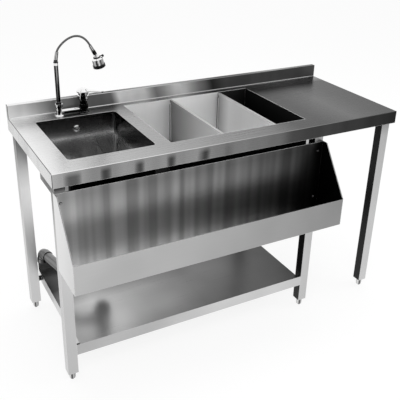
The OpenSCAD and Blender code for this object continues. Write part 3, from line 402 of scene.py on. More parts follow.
@dataclass(frozen=True)
class BrushedSteel:
    """Stainless sheet, 304, brushed with a 240 grit belt.

    The belt leaves fine scratches one way, so the sheet mirrors its room as soft streaks across them.
    These streaks, the light and shade of its faces, its bands, its sheen and its edge glint are painted into
    its colour.

    Args:
        name: Material name.
        tone: sRGB grey level of the faces with no tone of their own.
        faces: Painted light and shade of single faces.
        grain: Axis the belt ran along.
        roughness: Mean roughness.
        bands: Painted dark reflection bands on the front faces, or None.
        reflection_streak_depth: Strength of the painted soft reflection streaks on upright faces.
        reflection_streak_mm: Width of a painted reflection streak.
        reflection_streak_within: Stretch that the painted reflection streaks keep to, or None.
        phase: Shift of the painted reflection streaks and the painted sheen, in widths.
        cloud_depth: Strength of the wide uneven painted sheen.
        glint_and_wear_level: sRGB grey level of the painted glint and wear along rounded edges.
        relief: Strength of the scratches' relief.
        dull: Stretch whose mirror is duller, or None.
    """

    name: str
    tone: float = 190
    faces: tuple[FaceTone, ...] = ()
    grain: Axis = X
    roughness: float = 0.3
    bands: Bands | None = None
    reflection_streak_depth: float = 0.0
    reflection_streak_mm: float = 60.0
    reflection_streak_within: Span | None = None
    phase: float = 0.0
    cloud_depth: float = 0.08
    glint_and_wear_level: float = 232
    relief: float = 0.015
    dull: Span | None = None

    def build(self) -> Material:
        """Builds the material.

        Returns:
            The material.
        """
        surface = Surface(self.name)
        tree = surface.tree
        colour: Value = grey(self.tone)
        # Painted light and shade of single faces, then painted reflection bands and streaks, laid into the
        # colour.
        for tone in self.faces:
            colour = self.face_colour(surface, tone, colour)
        if self.bands:
            colour = self.banded(surface, colour)
        if self.reflection_streak_depth:
            colour = self.reflection_streaked(surface, colour)
        # Painted sheen: wide clouds that lighten and darken the colour.
        cloud = surface.pattern(SHEEN_MM, 2.0, (self.phase, 3, 1))
        sheen = add_node(tree, "MapRange", (cloud, *MIDDLE, 1 - self.cloud_depth, 1 + self.cloud_depth))
        colour = add_node(tree, "Mix", {0: 1.0, 6: colour, 7: sheen}, **TIMES)
        period = [SCRATCH_WIDTH_MM] * 3
        period[self.grain.value] = SCRATCH_LENGTH_MM
        grain = surface.pattern(period, 3.0)
        scratch = add_node(tree, "MapRange", (grain, *MIDDLE, *SCRATCH_SHADE))
        colour = add_node(tree, "Mix", {0: 1.0, 6: colour, 7: scratch}, **TIMES)
        # Painted glint and wear along the edges.
        colour = surface.painted_glint_and_wear(colour, grey(self.glint_and_wear_level), FOLD_EDGE_MM)
        uneven = add_node(tree, "MapRange", (grain, *WIDE, self.roughness - 0.03, self.roughness + 0.04))
        if self.dull:
            duller = add_node(tree, "Math", (surface.inside(self.dull), DULLING), operation="MULTIPLY")
            uneven = add_node(tree, "Math", (uneven, duller), operation="ADD")
        metal = {"Base Color": colour, "Metallic": 1.0, "Roughness": uneven}
        return surface.close(metal, grain, self.relief, SCRATCH_DEPTH_MM)

    @staticmethod
    def face_colour(surface: Surface, tone: FaceTone, under: Value) -> Node:
        """Lays one face's painted light and shade over the colour so far.

        Args:
            surface: The material in the making.
            tone: The face's tone.
            under: Colour that it is laid over.

        Returns:
            The node that gives the colour.
        """
        tree, place, shift = surface.tree, surface.place, SHIFT_MM[tone.along]
        low, high = tone.stops[0][0], tone.stops[-1][0]
        at = place[tone.along.value]
        if tone.skew:
            up = add_node(tree, "Math", (place[2], tone.within.low * MM), operation="SUBTRACT")
            lean = add_node(tree, "Math", (up, tone.skew), operation="MULTIPLY")
            at = add_node(tree, "Math", (at, lean), operation="ADD")
        along = add_node(tree, "MapRange", (at, (low - shift) * MM, (high - shift) * MM, 0.0, 1.0))
        colour = add_node(tree, "ValToRGB", (along,))
        set_stops(colour, [((mark - low) / (high - low), level) for mark, level in tone.stops])
        if tone.fold:
            both = [surface.looks(face, FOLD_SHARE) for face in (tone.face, tone.fold)]
            facing = add_node(tree, "Math", both, operation="MINIMUM")
        else:
            facing = surface.looks(tone.face)
        if tone.within:
            facing = add_node(tree, "Math", (facing, surface.inside(tone.within)), operation="MULTIPLY")
        if tone.lift:
            span, first, last = tone.lift
            offset = SHIFT_MM[span.axis]
            ends = ((span.low - offset) * MM, (span.high - offset) * MM)
            gain = add_node(tree, "MapRange", (place[span.axis.value], *ends, first, last))
            colour = add_node(tree, "Mix", {0: 1.0, 6: colour, 7: gain}, **TIMES)
        return add_node(tree, "Mix", {0: facing, 6: under, 7: colour}, **LAY)

    def banded(self, surface: Surface, under: Value) -> Node:
        """Lays the painted dark reflection bands over the front faces.

        Args:
            surface: The material in the making.
            under: Colour that they are laid over.

        Returns:
            The node that gives the colour.
        """
        tree, bands = surface.tree, self.bands
        sway = surface.pattern(BAND_SWAY_MM, 1.0)
        aside = add_node(tree, "MapRange", (sway, *MIDDLE, -BAND_SWAY, BAND_SWAY))
        moved = add_node(tree, "Math", (surface.place[0], aside), operation="ADD")
        start = (bands.first_mm - HALF_LENGTH_MM) * MM
        past = add_node(tree, "Math", (moved, start), operation="SUBTRACT")
        turn = add_node(tree, "Math", (past, math.tau / (bands.period_mm * MM)), operation="MULTIPLY")
        wave = add_node(tree, "Math", (turn,), operation="COSINE")
        edge = math.cos(math.pi * bands.width)
        ends = (edge - BAND_SOFTNESS, edge + BAND_SOFTNESS)
        dark = add_node(tree, "MapRange", (wave, *ends, 0.0, bands.depth))
        for limit in (surface.looks(FRONT), surface.inside(bands.fade), surface.inside(bands.rise)):
            dark = add_node(tree, "Math", (dark, limit), operation="MULTIPLY")
        # Painted dark reflection.
        return add_node(tree, "Mix", {0: dark, 6: under, 7: linear("#0C0C0C")}, **LAY)

    def reflection_streaked(self, surface: Surface, under: Value) -> Node:
        """Lays the painted soft reflection streaks over the upright faces.

        Args:
            surface: The material in the making.
            under: Colour that they are laid over.

        Returns:
            The node that gives the colour.
        """
        tree = surface.tree
        reflection_streak = surface.pattern((self.reflection_streak_mm, self.reflection_streak_mm, REFLECTION_STREAK_LENGTH_MM), 1.0, (self.phase, 0, 0))
        level = add_node(tree, "MapRange", (reflection_streak, *NARROW, 1 - self.reflection_streak_depth, 1 + self.reflection_streak_depth * 0.5))
        slope = add_node(tree, "Math", (surface.way[2],), operation="ABSOLUTE")
        upright = add_node(tree, "Math", (slope, 0.5), operation="LESS_THAN")
        if self.reflection_streak_within:
            kept = surface.inside(self.reflection_streak_within)
            upright = add_node(tree, "Math", (upright, kept), operation="MULTIPLY")
        marked = add_node(tree, "Mix", {0: 1.0, 6: under, 7: level}, **TIMES)
        return add_node(tree, "Mix", {0: upright, 6: under, 7: marked}, **LAY)


@dataclass(frozen=True)
class ChromePlate:
    """Bright nickel-chrome plate over brass or zinc: a near mirror with a faint orange peel.

    A mirror this curved shows its whole room as narrow bands, painted here into the colour by
    the normal: the lamp above, the dark studio in front and the white walls at both sides.

    Args:
        name: Material name.
        level: sRGB grey level of the plate where it shows a white wall.
        bands: Painted reflection bands, as pairs of a place from -1, at the left, to 1, at the right, and a
            grey level there.
        above: Grey level of the painted highlight on faces that look up, which also brings the painted dark
            on faces that look down; None for neither.
        patches: Boxes of the object with a painted reflection of one thing only, each as a grey level and its
            stretches.
        roughness: Mean roughness.
        ripple: Strength of the orange peel.
    """

    name: str
    level: float = 226
    bands: tuple[tuple[float, float], ...] = ()
    above: float | None = None
    patches: tuple[tuple[float, tuple[Span, ...]], ...] = ()
    roughness: float = 0.06
    ripple: float = 0.05

    def build(self) -> Material:
        """Builds the material.

        Returns:
            The material.
        """
        surface = Surface(self.name)
        tree = surface.tree
        colour: Value = grey(self.level)
        # Painted reflection bands by the normal, painted highlight on faces that look up, painted dark on
        # faces that look down, and painted reflection patches.
        if self.bands:
            side = add_node(tree, "VectorMath", (surface.normal, STUDIO_SIDE), operation="DOT_PRODUCT")
            colour = add_node(tree, "ValToRGB", (add_node(tree, "MapRange", (side, -1.0, 1.0, 0.0, 1.0)),))
            set_stops(colour, [((at + 1) / 2, level) for at, level in self.bands])
        if self.above is not None:
            overhead = add_node(tree, "MapRange", (surface.way[2], 0.3, 0.5, 0.0, 1.0))
            colour = add_node(tree, "Mix", {0: overhead, 6: colour, 7: grey(self.above)}, **LAY)
            under = add_node(tree, "MapRange", (surface.way[2], -0.5, -0.3, 1.0, 0.0))
            colour = add_node(tree, "Mix", {0: under, 6: colour, 7: grey(CHROME_UNDERSIDE_SHADE)}, **LAY)
        for level, spans in self.patches:
            share: Value = 1.0
            for span in spans:
                share = add_node(tree, "Math", (share, surface.inside(span)), operation="MULTIPLY")
            colour = add_node(tree, "Mix", {0: share, 6: colour, 7: grey(level)}, **LAY)
        haze = surface.pattern((HAZE_MM,) * 3, 3.0)
        veil = add_node(tree, "MapRange", (haze, *MIDDLE, *HAZE_SHADE))
        colour = add_node(tree, "Mix", {0: 1.0, 6: colour, 7: veil}, **TIMES)
        # Painted glint along the edges.
        colour = surface.painted_glint_and_wear(colour, grey(CHROME_EDGE_GLINT), CHROME_EDGE_MM)
        uneven = add_node(tree, "MapRange", (haze, *WIDE, self.roughness * 0.6, self.roughness * 1.6))
        peel = surface.pattern((PEEL_MM,) * 3)
        metal = {"Base Color": colour, "Metallic": 1.0, "Roughness": uneven}
        return surface.close(metal, peel, self.ripple, PEEL_DEPTH_MM)


@dataclass(frozen=True)
class SolidStuff:
    """A non-metal, or a plain machined metal, with grain, wear and uneven gloss of its own, and a painted
    glint on its edges.

    A moulded black part has a spark-eroded matt skin, which sends back less than a bare gloss does.

    Args:
        name: Material name.
        colour: sRGB hex of the fresh surface.
        painted_glint_and_wear: sRGB hex of its edges, with painted glint and wear.
        roughness: Mean roughness.
        grain_mm: Size of the surface's grain.
        bump: Strength of the grain's relief.
        metallic: 1 for a metal.
        spread: How far the colour varies.
        edge_mm: Width of the edge's painted glint and wear.
        gloss: Specular level, 0.5 for a bare smooth skin.
    """

    name: str
    colour: str
    painted_glint_and_wear: str
    roughness: float = 0.5
    grain_mm: float = 3.0
    bump: float = 0.15
    metallic: float = 0.0
    spread: float = 0.06
    edge_mm: float = 0.8
    gloss: float = 0.5

    def build(self) -> Material:
        """Builds the material.

        Returns:
            The material.
        """
        surface = Surface(self.name)
        tree = surface.tree
        grain = surface.pattern((self.grain_mm,) * 3, 4.0)
        patch = surface.pattern((self.grain_mm * PATCH_GRAINS,) * 3)
        shade = add_node(tree, "MapRange", (patch, *MIDDLE, 1 - self.spread, 1 + self.spread))
        colour = add_node(tree, "Mix", {0: 1.0, 6: linear(self.colour), 7: shade}, **TIMES)
        # Edges lightened by painted glint and wear.
        colour = surface.painted_glint_and_wear(colour, linear(self.painted_glint_and_wear), self.edge_mm)
        uneven = add_node(tree, "MapRange", (patch, *WIDE, self.roughness - 0.06, self.roughness + 0.08))
        skin = {"Base Color": colour, "Roughness": uneven}
        skin |= {"Metallic": self.metallic, "Specular IOR Level": self.gloss}
        return surface.close(skin, grain, self.bump, GRAIN_DEPTH_MM)


# ---- Finishes of this object, with their painted light and shade ------------------------------

# Worktop sheet, brushed along its length, with painted reflections: painted light at its left end, painted
# dark at its right, painted bands and streaks on its front and upstand, and painted light and dark lines
# along its folds.
TOP_SHEET = BrushedSteel(
    "brushed_304_worktop",
    tone=150,
    faces=(
        FaceTone(
            UP, X,
            (
                (0, 240), (140, 190), (640, 140), (880, 110), (1000, 60),
                (1130, 50), (1280, 82), (1400, 48), (1500, 22),
            ),
        ),
        FaceTone(
            UP, X,
            (
                (0, 254), (110, 252), (190, 190), (300, 96), (430, 70), (560, 160),
                (740, 168), (960, 66), (1080, 110), (1250, 180), (1500, 140),
            ),
            within=Span(Y, 530, 610, 70),
        ),
        FaceTone(FRONT, X, ((0, 178), (140, 146), (500, 146), (620, 126), (900, 106), (960, 70), (1500, 34))),
        FaceTone(
            FRONT, X,
            (
                (0, 252), (110, 200), (240, 160), (400, 120), (444, 130), (476, 240), (600, 226),
                (650, 150), (720, 200), (770, 236), (860, 150), (930, 60), (1010, 96), (1500, 84),
            ),
            within=Span(Z, 895, 960),
            skew=0.3,
        ),
        FaceTone(LEFT, Y, ((0, 206), (600, 212))),
        FaceTone(RIGHT, Y, ((0, 120), (600, 150))),
        FaceTone(BACK, X, ((0, 190), (1500, 150))),
        FaceTone(LEFT, Y, ((0, 60), (600, 90)), fold=UP),
        FaceTone(LEFT, Z, ((843, 70), (950, 60)), fold=FRONT),
        FaceTone(UP, X, ((0, 246), (500, 214), (900, 150), (1500, 60)), fold=FRONT),
    ),
    roughness=0.27,
    bands=Bands(120, 75, 0.84, 0.26, Span(X, 20, 640, 120), Span(Z, 820, 884, 22)),
    reflection_streak_depth=0.13,
    reflection_streak_mm=76,
    phase=0.35,
    cloud_depth=0.05,
    dull=Span(Z, 897, 960, 3),
)
# Square tube, brushed along its length, the lit copy: painted bright reflection, and painted shade at the top
# under the worktop.
LEG_TUBE_LEFT = BrushedSteel(
    "brushed_304_tube_left",
    tone=200,
    faces=(
        FaceTone(FRONT, Z, ((40, 192), (780, 212), (822, 90), (834, 20), (864, 10))),
        FaceTone(LEFT, Z, ((40, 206), (420, 198), (640, 178), (780, 120), (815, 76), (864, 50))),
        FaceTone(FRONT, Z, ((40, 210), (600, 230), (864, 150)), within=Span(Y, 500, 620)),
    ),
    grain=Z,
    roughness=0.32,
)
# The same tube further right, the shaded copy: its left faces carry a painted dark reflection of the room.
LEG_TUBE_RIGHT = BrushedSteel(
    "brushed_304_tube_right",
    tone=196,
    faces=(
        FaceTone(FRONT, Z, ((40, 200), (780, 178), (835, 150), (864, 110))),
        FaceTone(LEFT, Z, ((40, 40), (864, 34))),
    ),
    grain=Z,
    roughness=0.32,
)
# Cold-headed A2 screws: small domes, painted dim, with painted shade deepening to the right on their fronts.
SCREW_STEEL = BrushedSteel(
    "a2_screw_steel", tone=120, faces=(FaceTone(FRONT, X, ((0, 160), (1100, 20))),), glint_and_wear_level=120
)
# Folded channels under the worktop, painted dark for its shade.
HIDDEN_FRAME = BrushedSteel("brushed_304_frame", tone=40, roughness=0.45)
# Undershelf sheet, brushed: a painted soft light patch at the left, painted shade of the bowl behind,
# and a painted floor reflection on its front and left faces.
SHELF_SHEET = BrushedSteel(
    "brushed_304_shelf",
    tone=180,
    faces=(
        FaceTone(UP, X, ((60, 180), (200, 214), (330, 176), (620, 120), (1080, 82))),
        FaceTone(UP, X, ((60, 60), (240, 110), (620, 110), (1080, 82)), within=Span(Y, 330, 600, 140)),
        FaceTone(FRONT, X, ((50, 180), (450, 200), (1092, 204))),
        FaceTone(LEFT, Y, ((20, 186), (300, 222), (590, 215))),
    ),
    roughness=0.3,
    cloud_depth=0.14,
)
# Rail sheet, brushed: painted upright reflection streaks across its back, which is painted lighter towards
# the fold below;
# its top and lip are painted light at the left and darker to the right.
RAIL_SHEET = BrushedSteel(
    "brushed_304_rail",
    tone=150,
    faces=(
        FaceTone(
            FRONT, X, ((10, 160), (200, 142), (450, 132), (700, 112), (950, 74), (1130, 34)),
            lift=(Span(Z, 540, 790), 2.8, 0.82),
        ),
        FaceTone(UP, X, ((10, 245), (600, 235), (900, 170), (1130, 80))),
        FaceTone(BACK, X, ((10, 240), (1130, 150))),
        FaceTone(FRONT, X, ((10, 188), (600, 174), (1130, 142)), within=Span(Y, -150, -130)),
    ),
    roughness=0.34,
    reflection_streak_depth=0.34,
    reflection_streak_mm=42,
    reflection_streak_within=Span(Y, -100, 40),
    phase=1.7,
    cloud_depth=0.1,
)
# The left end, the lit copy: its outside carries a painted reflection of the light wall, so it is the
# brightest sheet.
RAIL_END_LEFT_SHEET = BrushedSteel(
    "brushed_304_rail_end_left",
    tone=150,
    faces=(
        FaceTone(LEFT, Y, ((-140, 212), (40, 222))),
        FaceTone(RIGHT, Y, ((-140, 120), (30, 96))),
    ),
    grain=Z,
)
# The right end, the shaded copy, turns its inside to the eye, painted dark.
RAIL_END_RIGHT_SHEET = BrushedSteel(
    "brushed_304_rail_end_right",
    tone=150,
    faces=(
        FaceTone(LEFT, Y, ((-140, 40), (30, 30))),
        FaceTone(RIGHT, Y, ((-140, 180), (30, 170))),
    ),
    grain=Z,
)
# The bowl is drawn and then satin finished; its colour is painted dark for the shade where each ray meets
# four or five walls, with painted light on its floor, painted light lines across its walls and a painted
# highlight in its floor fillet.
BOWL_SHEET = BrushedSteel(
    "satin_304_bowl",
    tone=18,
    faces=(
        FaceTone(UP, X, ((84, 214), (417, 214)), within=Span(Z, 640, 700)),
        FaceTone(
            FRONT, Z,
            ((650, 200), (770, 206), (796, 228), (806, 254), (820, 170), (850, 130), (893, 118)),
            within=Span(Y, 300, 520),
        ),
        FaceTone(BACK, Z, ((650, 150), (893, 130)), within=Span(Y, 60, 300)),
        FaceTone(
            LEFT, Z, ((650, 200), (770, 200), (790, 240), (812, 130), (893, 120)), within=Span(X, 250, 440)
        ),
        FaceTone(RIGHT, Z, ((650, 186), (893, 160)), within=Span(X, 60, 250)),
        FaceTone(BACK, X, ((84, 226), (417, 226)), within=Span(Z, 640, 700), fold=UP),
    ),
    grain=Z,
    roughness=0.15,
    cloud_depth=0.04,
    glint_and_wear_level=170,
    relief=0.003,
)
# Ice bin liner, satin finished: even and pale, with painted shade only in the deep right compartment.
BIN_SHEET = BrushedSteel(
    "satin_304_bin",
    tone=250,
    faces=(
        FaceTone(
            FRONT, X,
            ((474, 240), (640, 252), (690, 235), (700, 252), (930, 246), (942, 60), (1081, 40)),
        ),
        FaceTone(LEFT, Z, ((680, 30), (893, 40))),
        FaceTone(UP, X, ((474, 244), (930, 244), (942, 60), (1081, 40))),
    ),
    grain=Z,
    roughness=0.62,
    relief=0.003,
)
# The dividers are satin on both sides, with painted light and shade; the left one is painted darker towards
# the shaded back of the bin.
DIVIDER_LEFT_SHEET = BrushedSteel(
    "satin_304_divider_left",
    tone=236,
    faces=(
        FaceTone(LEFT, Y, ((85, 240), (300, 200), (545, 120))),
        FaceTone(RIGHT, Y, ((85, 236), (545, 230))),
        FaceTone(UP, Y, ((85, 200), (545, 190))),
    ),
    grain=Z,
    roughness=0.5,
    glint_and_wear_level=200,
    relief=0.003,
)
# The right divider: painted shade on its right faces, which look into the deep right compartment.
DIVIDER_RIGHT_SHEET = BrushedSteel(
    "satin_304_divider_right",
    tone=244,
    faces=(
        FaceTone(LEFT, Y, ((85, 254), (450, 246), (545, 180))),
        FaceTone(RIGHT, Y, ((85, 80), (545, 60))),
        FaceTone(UP, Y, ((85, 196), (545, 190))),
    ),
    grain=Z,
    roughness=0.5,
    glint_and_wear_level=200,
    relief=0.003,
)
# Perforated floors, satin finished like the liner.
BIN_FLOOR_SHEET = BrushedSteel("satin_304_bin_floor", tone=250, roughness=0.6)
# Outer casing of the ice bin, brushed, painted dark for the shade of the worktop.
CASING_SHEET = BrushedSteel("brushed_304_casing", tone=16, roughness=0.6, glint_and_wear_level=70)
# Cast brass, nickel-chrome plated: painted light and dark reflection bands along every round,
# with painted dark patches and painted highlight lines.
TAP_CHROME = ChromePlate(
    "chrome_plated_tap",
    bands=(
        (-1, 40), (-0.62, 70), (-0.52, 228), (-0.34, 228), (-0.26, 12),
        (0.42, 12), (0.54, 232), (0.86, 226), (1, 110),
    ),
    above=240,
    patches=(
        (8, (Span(X, 212, 283, 6), Span(Z, 890, 911, 3))),
        (8, (Span(X, 278, 325, 3), Span(Z, 890, 948, 3))),
        (214, (Span(X, 178, 197, 4), Span(Z, 935, 943, 2))),
        (238, (Span(X, 178, 205, 3), Span(Z, 917, 923, 2))),
    ),
)
# Plated head, ball and ferrules: narrower painted reflection bands, because they are round both ways,
# with a painted highlight patch and painted dark patches.
HEAD_CHROME = ChromePlate(
    "chrome_plated_head",
    bands=((-1, 200), (-0.7, 50), (-0.45, 236), (-0.2, 100), (0.05, 22), (0.3, 228), (0.6, 60), (1, 180)),
    above=246,
    patches=(
        (240, (Span(X, 180, 212), Span(Z, 1098, 1110, 2))),
        (14, (Span(X, 180, 212), Span(Z, 1110, 1122, 2))),
        (30, (Span(X, 344, 364, 4), Span(Z, 1127, 1146, 4))),
    ),
)
# Drawn tube, chrome plated: painted dark reflection, with one long painted highlight streak.
RISER_CHROME = ChromePlate(
    "chrome_plated_riser",
    bands=((-1, 46), (-0.55, 22), (-0.1, 30), (0.22, 150), (0.5, 128), (0.72, 34), (1, 60)),
    above=150,
)
# Ribbed metal hose, chrome plated: each rib scatters its light, so it is rougher than the tap and painted
# darker.
NECK_CHROME = ChromePlate("chrome_plated_neck", level=104, roughness=0.2, ripple=0.1)
# Cast lever, chrome plated: its flat top carries a painted highlight of the lamp overhead, its rounds painted
# reflection bands.
LEVER_CHROME = ChromePlate(
    "chrome_plated_lever",
    bands=((-1, 200), (-0.7, 120), (-0.4, 232), (-0.1, 180), (0.1, 30), (0.35, 46), (0.55, 232), (1, 210)),
    above=248,
    roughness=0.1,
)
# Feet, turned from steel and plated: soft painted reflection bands round them.
FOOT_STEEL = ChromePlate(
    "turned_steel_foot",
    bands=((-1, 190), (-0.5, 226), (-0.1, 120), (0.2, 60), (0.5, 190), (1, 130)),
    roughness=0.16,
)
# The sheet's cut edge, ground and polished: one bright line.
RIM_STEEL = ChromePlate("polished_304_rim", level=238, roughness=0.14)
# The hollow fold at the foot of the upstand gathers light from both faces: a painted highlight, brightest at
# the left end.
CREASE_STEEL = BrushedSteel(
    "brushed_304_crease",
    tone=160,
    faces=(
        FaceTone(UP, X, ((0, 252), (130, 240), (500, 190), (900, 120), (1500, 90))),
        FaceTone(FRONT, X, ((0, 244), (500, 180), (900, 110), (1500, 80))),
    ),
)
# Waste and overflow fittings, pressed from 304 and polished: bright all over.
WASTE_STEEL = ChromePlate("polished_304_waste", level=226, roughness=0.12)
# Waste pipe, chrome plated, in the shade over the shelf: painted dark, with a painted lighter streak.
PIPE_PLATE = ChromePlate(
    "chrome_plated_waste_pipe",
    bands=((-1, 70), (-0.4, 130), (0.0, 70), (0.5, 40), (1, 90)),
    above=130,
    roughness=0.16,
)
# Tailpiece and bottle trap, chrome plated, painted dark for the deep shade.
TRAP_PLATE = ChromePlate("chrome_plated_trap", level=120, roughness=0.2)
# Glass-filled nylon, moulded: fine sparkle, edges a little lighter with painted glint and wear.
BLACK_NYLON = SolidStuff(
    "moulded_black_nylon", "#0B0B0C", "#242527", roughness=0.38, grain_mm=1.2, gloss=0.15
)
# Polypropylene, injection moulded: soft satin, slightly waxy.
BLACK_POLYPROPYLENE = SolidStuff(
    "moulded_black_polypropylene", "#111113", "#2C2C2E", roughness=0.46, grain_mm=2.0, gloss=0.25
)
# EPDM rubber, compression moulded: dry and matt.
EPDM_RUBBER = SolidStuff("moulded_epdm_rubber", "#1D1D1E", "#2C2C2D", roughness=0.82, grain_mm=1.0, bump=0.3)
# Polyurethane foam, blown in place: pale, with open pores.
BLOWN_FOAM = SolidStuff(
    "blown_polyurethane_foam", "#D8CFA8", "#E6DFC0", roughness=0.9, grain_mm=2.5, bump=0.6
)
# Brass, machined on a lathe: warm, with painted glint and wear on the corners.
TURNED_BRASS = SolidStuff(
    "turned_brass", "#C9A24B", "#E8CB80", roughness=0.26, grain_mm=1.5, metallic=1.0
)
# Alumina ceramic, ground: dense and smooth.
GROUND_CERAMIC = SolidStuff("ground_alumina", "#E8E7E2", "#F4F3F0", roughness=0.22, grain_mm=1.0, bump=0.05)
# Weld beads left as they were laid: rippled, and duller than the brushed tube.
WELD_STEEL = BrushedSteel("tig_weld_steel", tone=150, roughness=0.42, cloud_depth=0.2)

Finish = Union[BrushedSteel, ChromePlate, SolidStuff]
CAD_FINISHES: dict[Finish, tuple[str, ...]] = {
    TOP_SHEET: ("worktop",),
    LEG_TUBE_LEFT: ("leg_front_left", "leg_back_left"),
    LEG_TUBE_RIGHT: ("leg_front_middle", "leg_back_middle", "leg_front_right", "leg_back_right"),
    HIDDEN_FRAME: (
        "channel_front", "channel_back", "channel_left", "channel_middle", "channel_bay", "channel_right",
        "top_stiffener", "shelf_spacers",
    ),
    SCREW_STEEL: ("shelf_screws", "rail_screws"),
    SHELF_SHEET: ("undershelf",),
    RAIL_SHEET: ("rail_tray",),
    RAIL_END_LEFT_SHEET: ("rail_end_left",),
    RAIL_END_RIGHT_SHEET: ("rail_end_right",),
    BOWL_SHEET: ("sink_bowl",),
    BIN_SHEET: ("ice_bin_liner",),
    DIVIDER_LEFT_SHEET: ("divider_guides", "divider_left"),
    DIVIDER_RIGHT_SHEET: ("divider_right",),
    BIN_FLOOR_SHEET: ("ice_floor_left", "ice_floor_right"),
    CASING_SHEET: ("ice_bin_casing",),
    TAP_CHROME: ("tap_body", "mixer_spindle"),
    HEAD_CHROME: ("neck_ferrules", "spray_head"),
    LEVER_CHROME: ("mixer_lever",),
    RISER_CHROME: ("spout_riser",),
    WASTE_STEEL: ("overflow_rosette", "waste_flange", "basket_strainer", "ice_drain"),
    PIPE_PLATE: ("waste_pipe",),
    TRAP_PLATE: ("tailpiece", "bottle_trap"),
    FOOT_STEEL: (
        "foot_front_left", "foot_back_left", "foot_front_middle", "foot_back_middle", "foot_front_right",
        "foot_back_right",
    ),
    BLACK_NYLON: ("spray_face", "spray_selector"),
    BLACK_POLYPROPYLENE: ("leg_plugs", "waste_nut", "ice_drain_nut", "overflow_pipe"),
    EPDM_RUBBER: ("waste_gasket",),
    BLOWN_FOAM: ("ice_bin_foam",),
    TURNED_BRASS: ("tap_backnuts",),
    GROUND_CERAMIC: ("mixer_cartridge",),
}


class Finishes:
    """Builds each finish once and hands out its material."""

    def __init__(self) -> None:
        """Starts with no material built."""
        self.built: dict[str, Material] = {}

    def get(self, finish: Finish) -> Material:
        """Gives a finish's material.

        Args:
            finish: One of the finishes above.

        Returns:
            The material.
        """
        if finish.name not in self.built:
            self.built[finish.name] = finish.build()
        return self.built[finish.name]

    def dress_frame(self) -> None:
        """Gives every CAD node its finish."""
        for finish, names in CAD_FINISHES.items():
            for name in names:
                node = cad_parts[name]
                material = self.get(finish)
                if not node.material_slots:
                    node.data.materials.append(material)
                for slot in node.material_slots:
                    slot.material = material
                LOG.info("dressed %s in %s", name, finish.name)


# ---- Mesh helpers -----------------------------------------------------------------------------


def mesh_piece(
    name: str,
    rings: Sequence[Sequence[Vector]],
    closed: bool,
    finish: Material,
    body: str,
) -> bpy.types.Object:
    """Makes a tube-like piece from rings of points and lets it ride on a body.

    Args:
        name: Name of the piece.
        rings: Rings with the same count of points.
        closed: Whether the last ring joins the first; otherwise both ends are capped.
        finish: Its material.
        body: Body that it moves with.

    Returns:
        The object.
    """
    mesh = bmesh.new()
    rows = [[mesh.verts.new(p) for p in ring] for ring in rings]
    count = len(rows[0])
    spans = len(rows) if closed else len(rows) - 1
    for i in range(spans):
        a, b = rows[i], rows[(i + 1) % len(rows)]
        for k in range(count):
            mesh.faces.new((a[k], a[(k + 1) % count], b[(k + 1) % count], b[k]))
    if not closed:
        mesh.faces.new(list(reversed(rows[0])))
        mesh.faces.new(rows[-1])
    bmesh.ops.recalc_face_normals(mesh, faces=mesh.faces)
    for each in mesh.faces:
        each.smooth = len(each.verts) == 4
    data = bpy.data.meshes.new(name)
    mesh.to_mesh(data)
    mesh.free()
    piece = bpy.data.objects.new(name, data)
    bpy.context.scene.collection.objects.link(piece)
    data.materials.append(finish)
    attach(piece, body)
    LOG.info("made %s on %s", name, body)
    return piece


def loop_rings(path: Sequence[Vector], radius: float, sides: int) -> list[list[Vector]]:
    """Gives the rings of a thin bead along a closed level path.

    Args:
        path: Points of the closed path.
        radius: Radius of the bead.
        sides: Points of each ring.

    Returns:
        One ring for each point.
    """
    up = Vector((0, 0, 1))
    rings = []
    count = len(path)
    for i, point in enumerate(path):
        ahead = (path[(i + 1) % count] - path[i - 1]).normalized()
        side = ahead.cross(up).normalized()
        ring = []
        for k in range(sides):
            turn = math.tau * k / sides
            ring.append(point + side * radius * math.cos(turn) + up * radius * math.sin(turn))
        rings.append(ring)
    return rings


def rounded_loop(low: Vector, high: Vector, corner: float, steps: int) -> list[Vector]:
    """Gives a rounded rectangle in a level plane.

    Args:
        low: Its lowest corner.
        high: Its highest corner, at the same height.
        corner: Radius of its corners.
        steps: Points on each corner.

    Returns:
        The points, once around.
    """
    points = []
    corners = (
        (high.x - corner, high.y - corner, 0.0),
        (low.x + corner, high.y - corner, 90.0),
        (low.x + corner, low.y + corner, 180.0),
        (high.x - corner, low.y + corner, 270.0),
    )
    for x, y, start in corners:
        for i in range(steps + 1):
            turn = math.radians(start + 90.0 * i / steps)
            points.append(Vector((x + corner * math.cos(turn), y + corner * math.sin(turn), low.z)))
    return points


# ---- Sub-assemblies ---------------------------------------------------------------------------


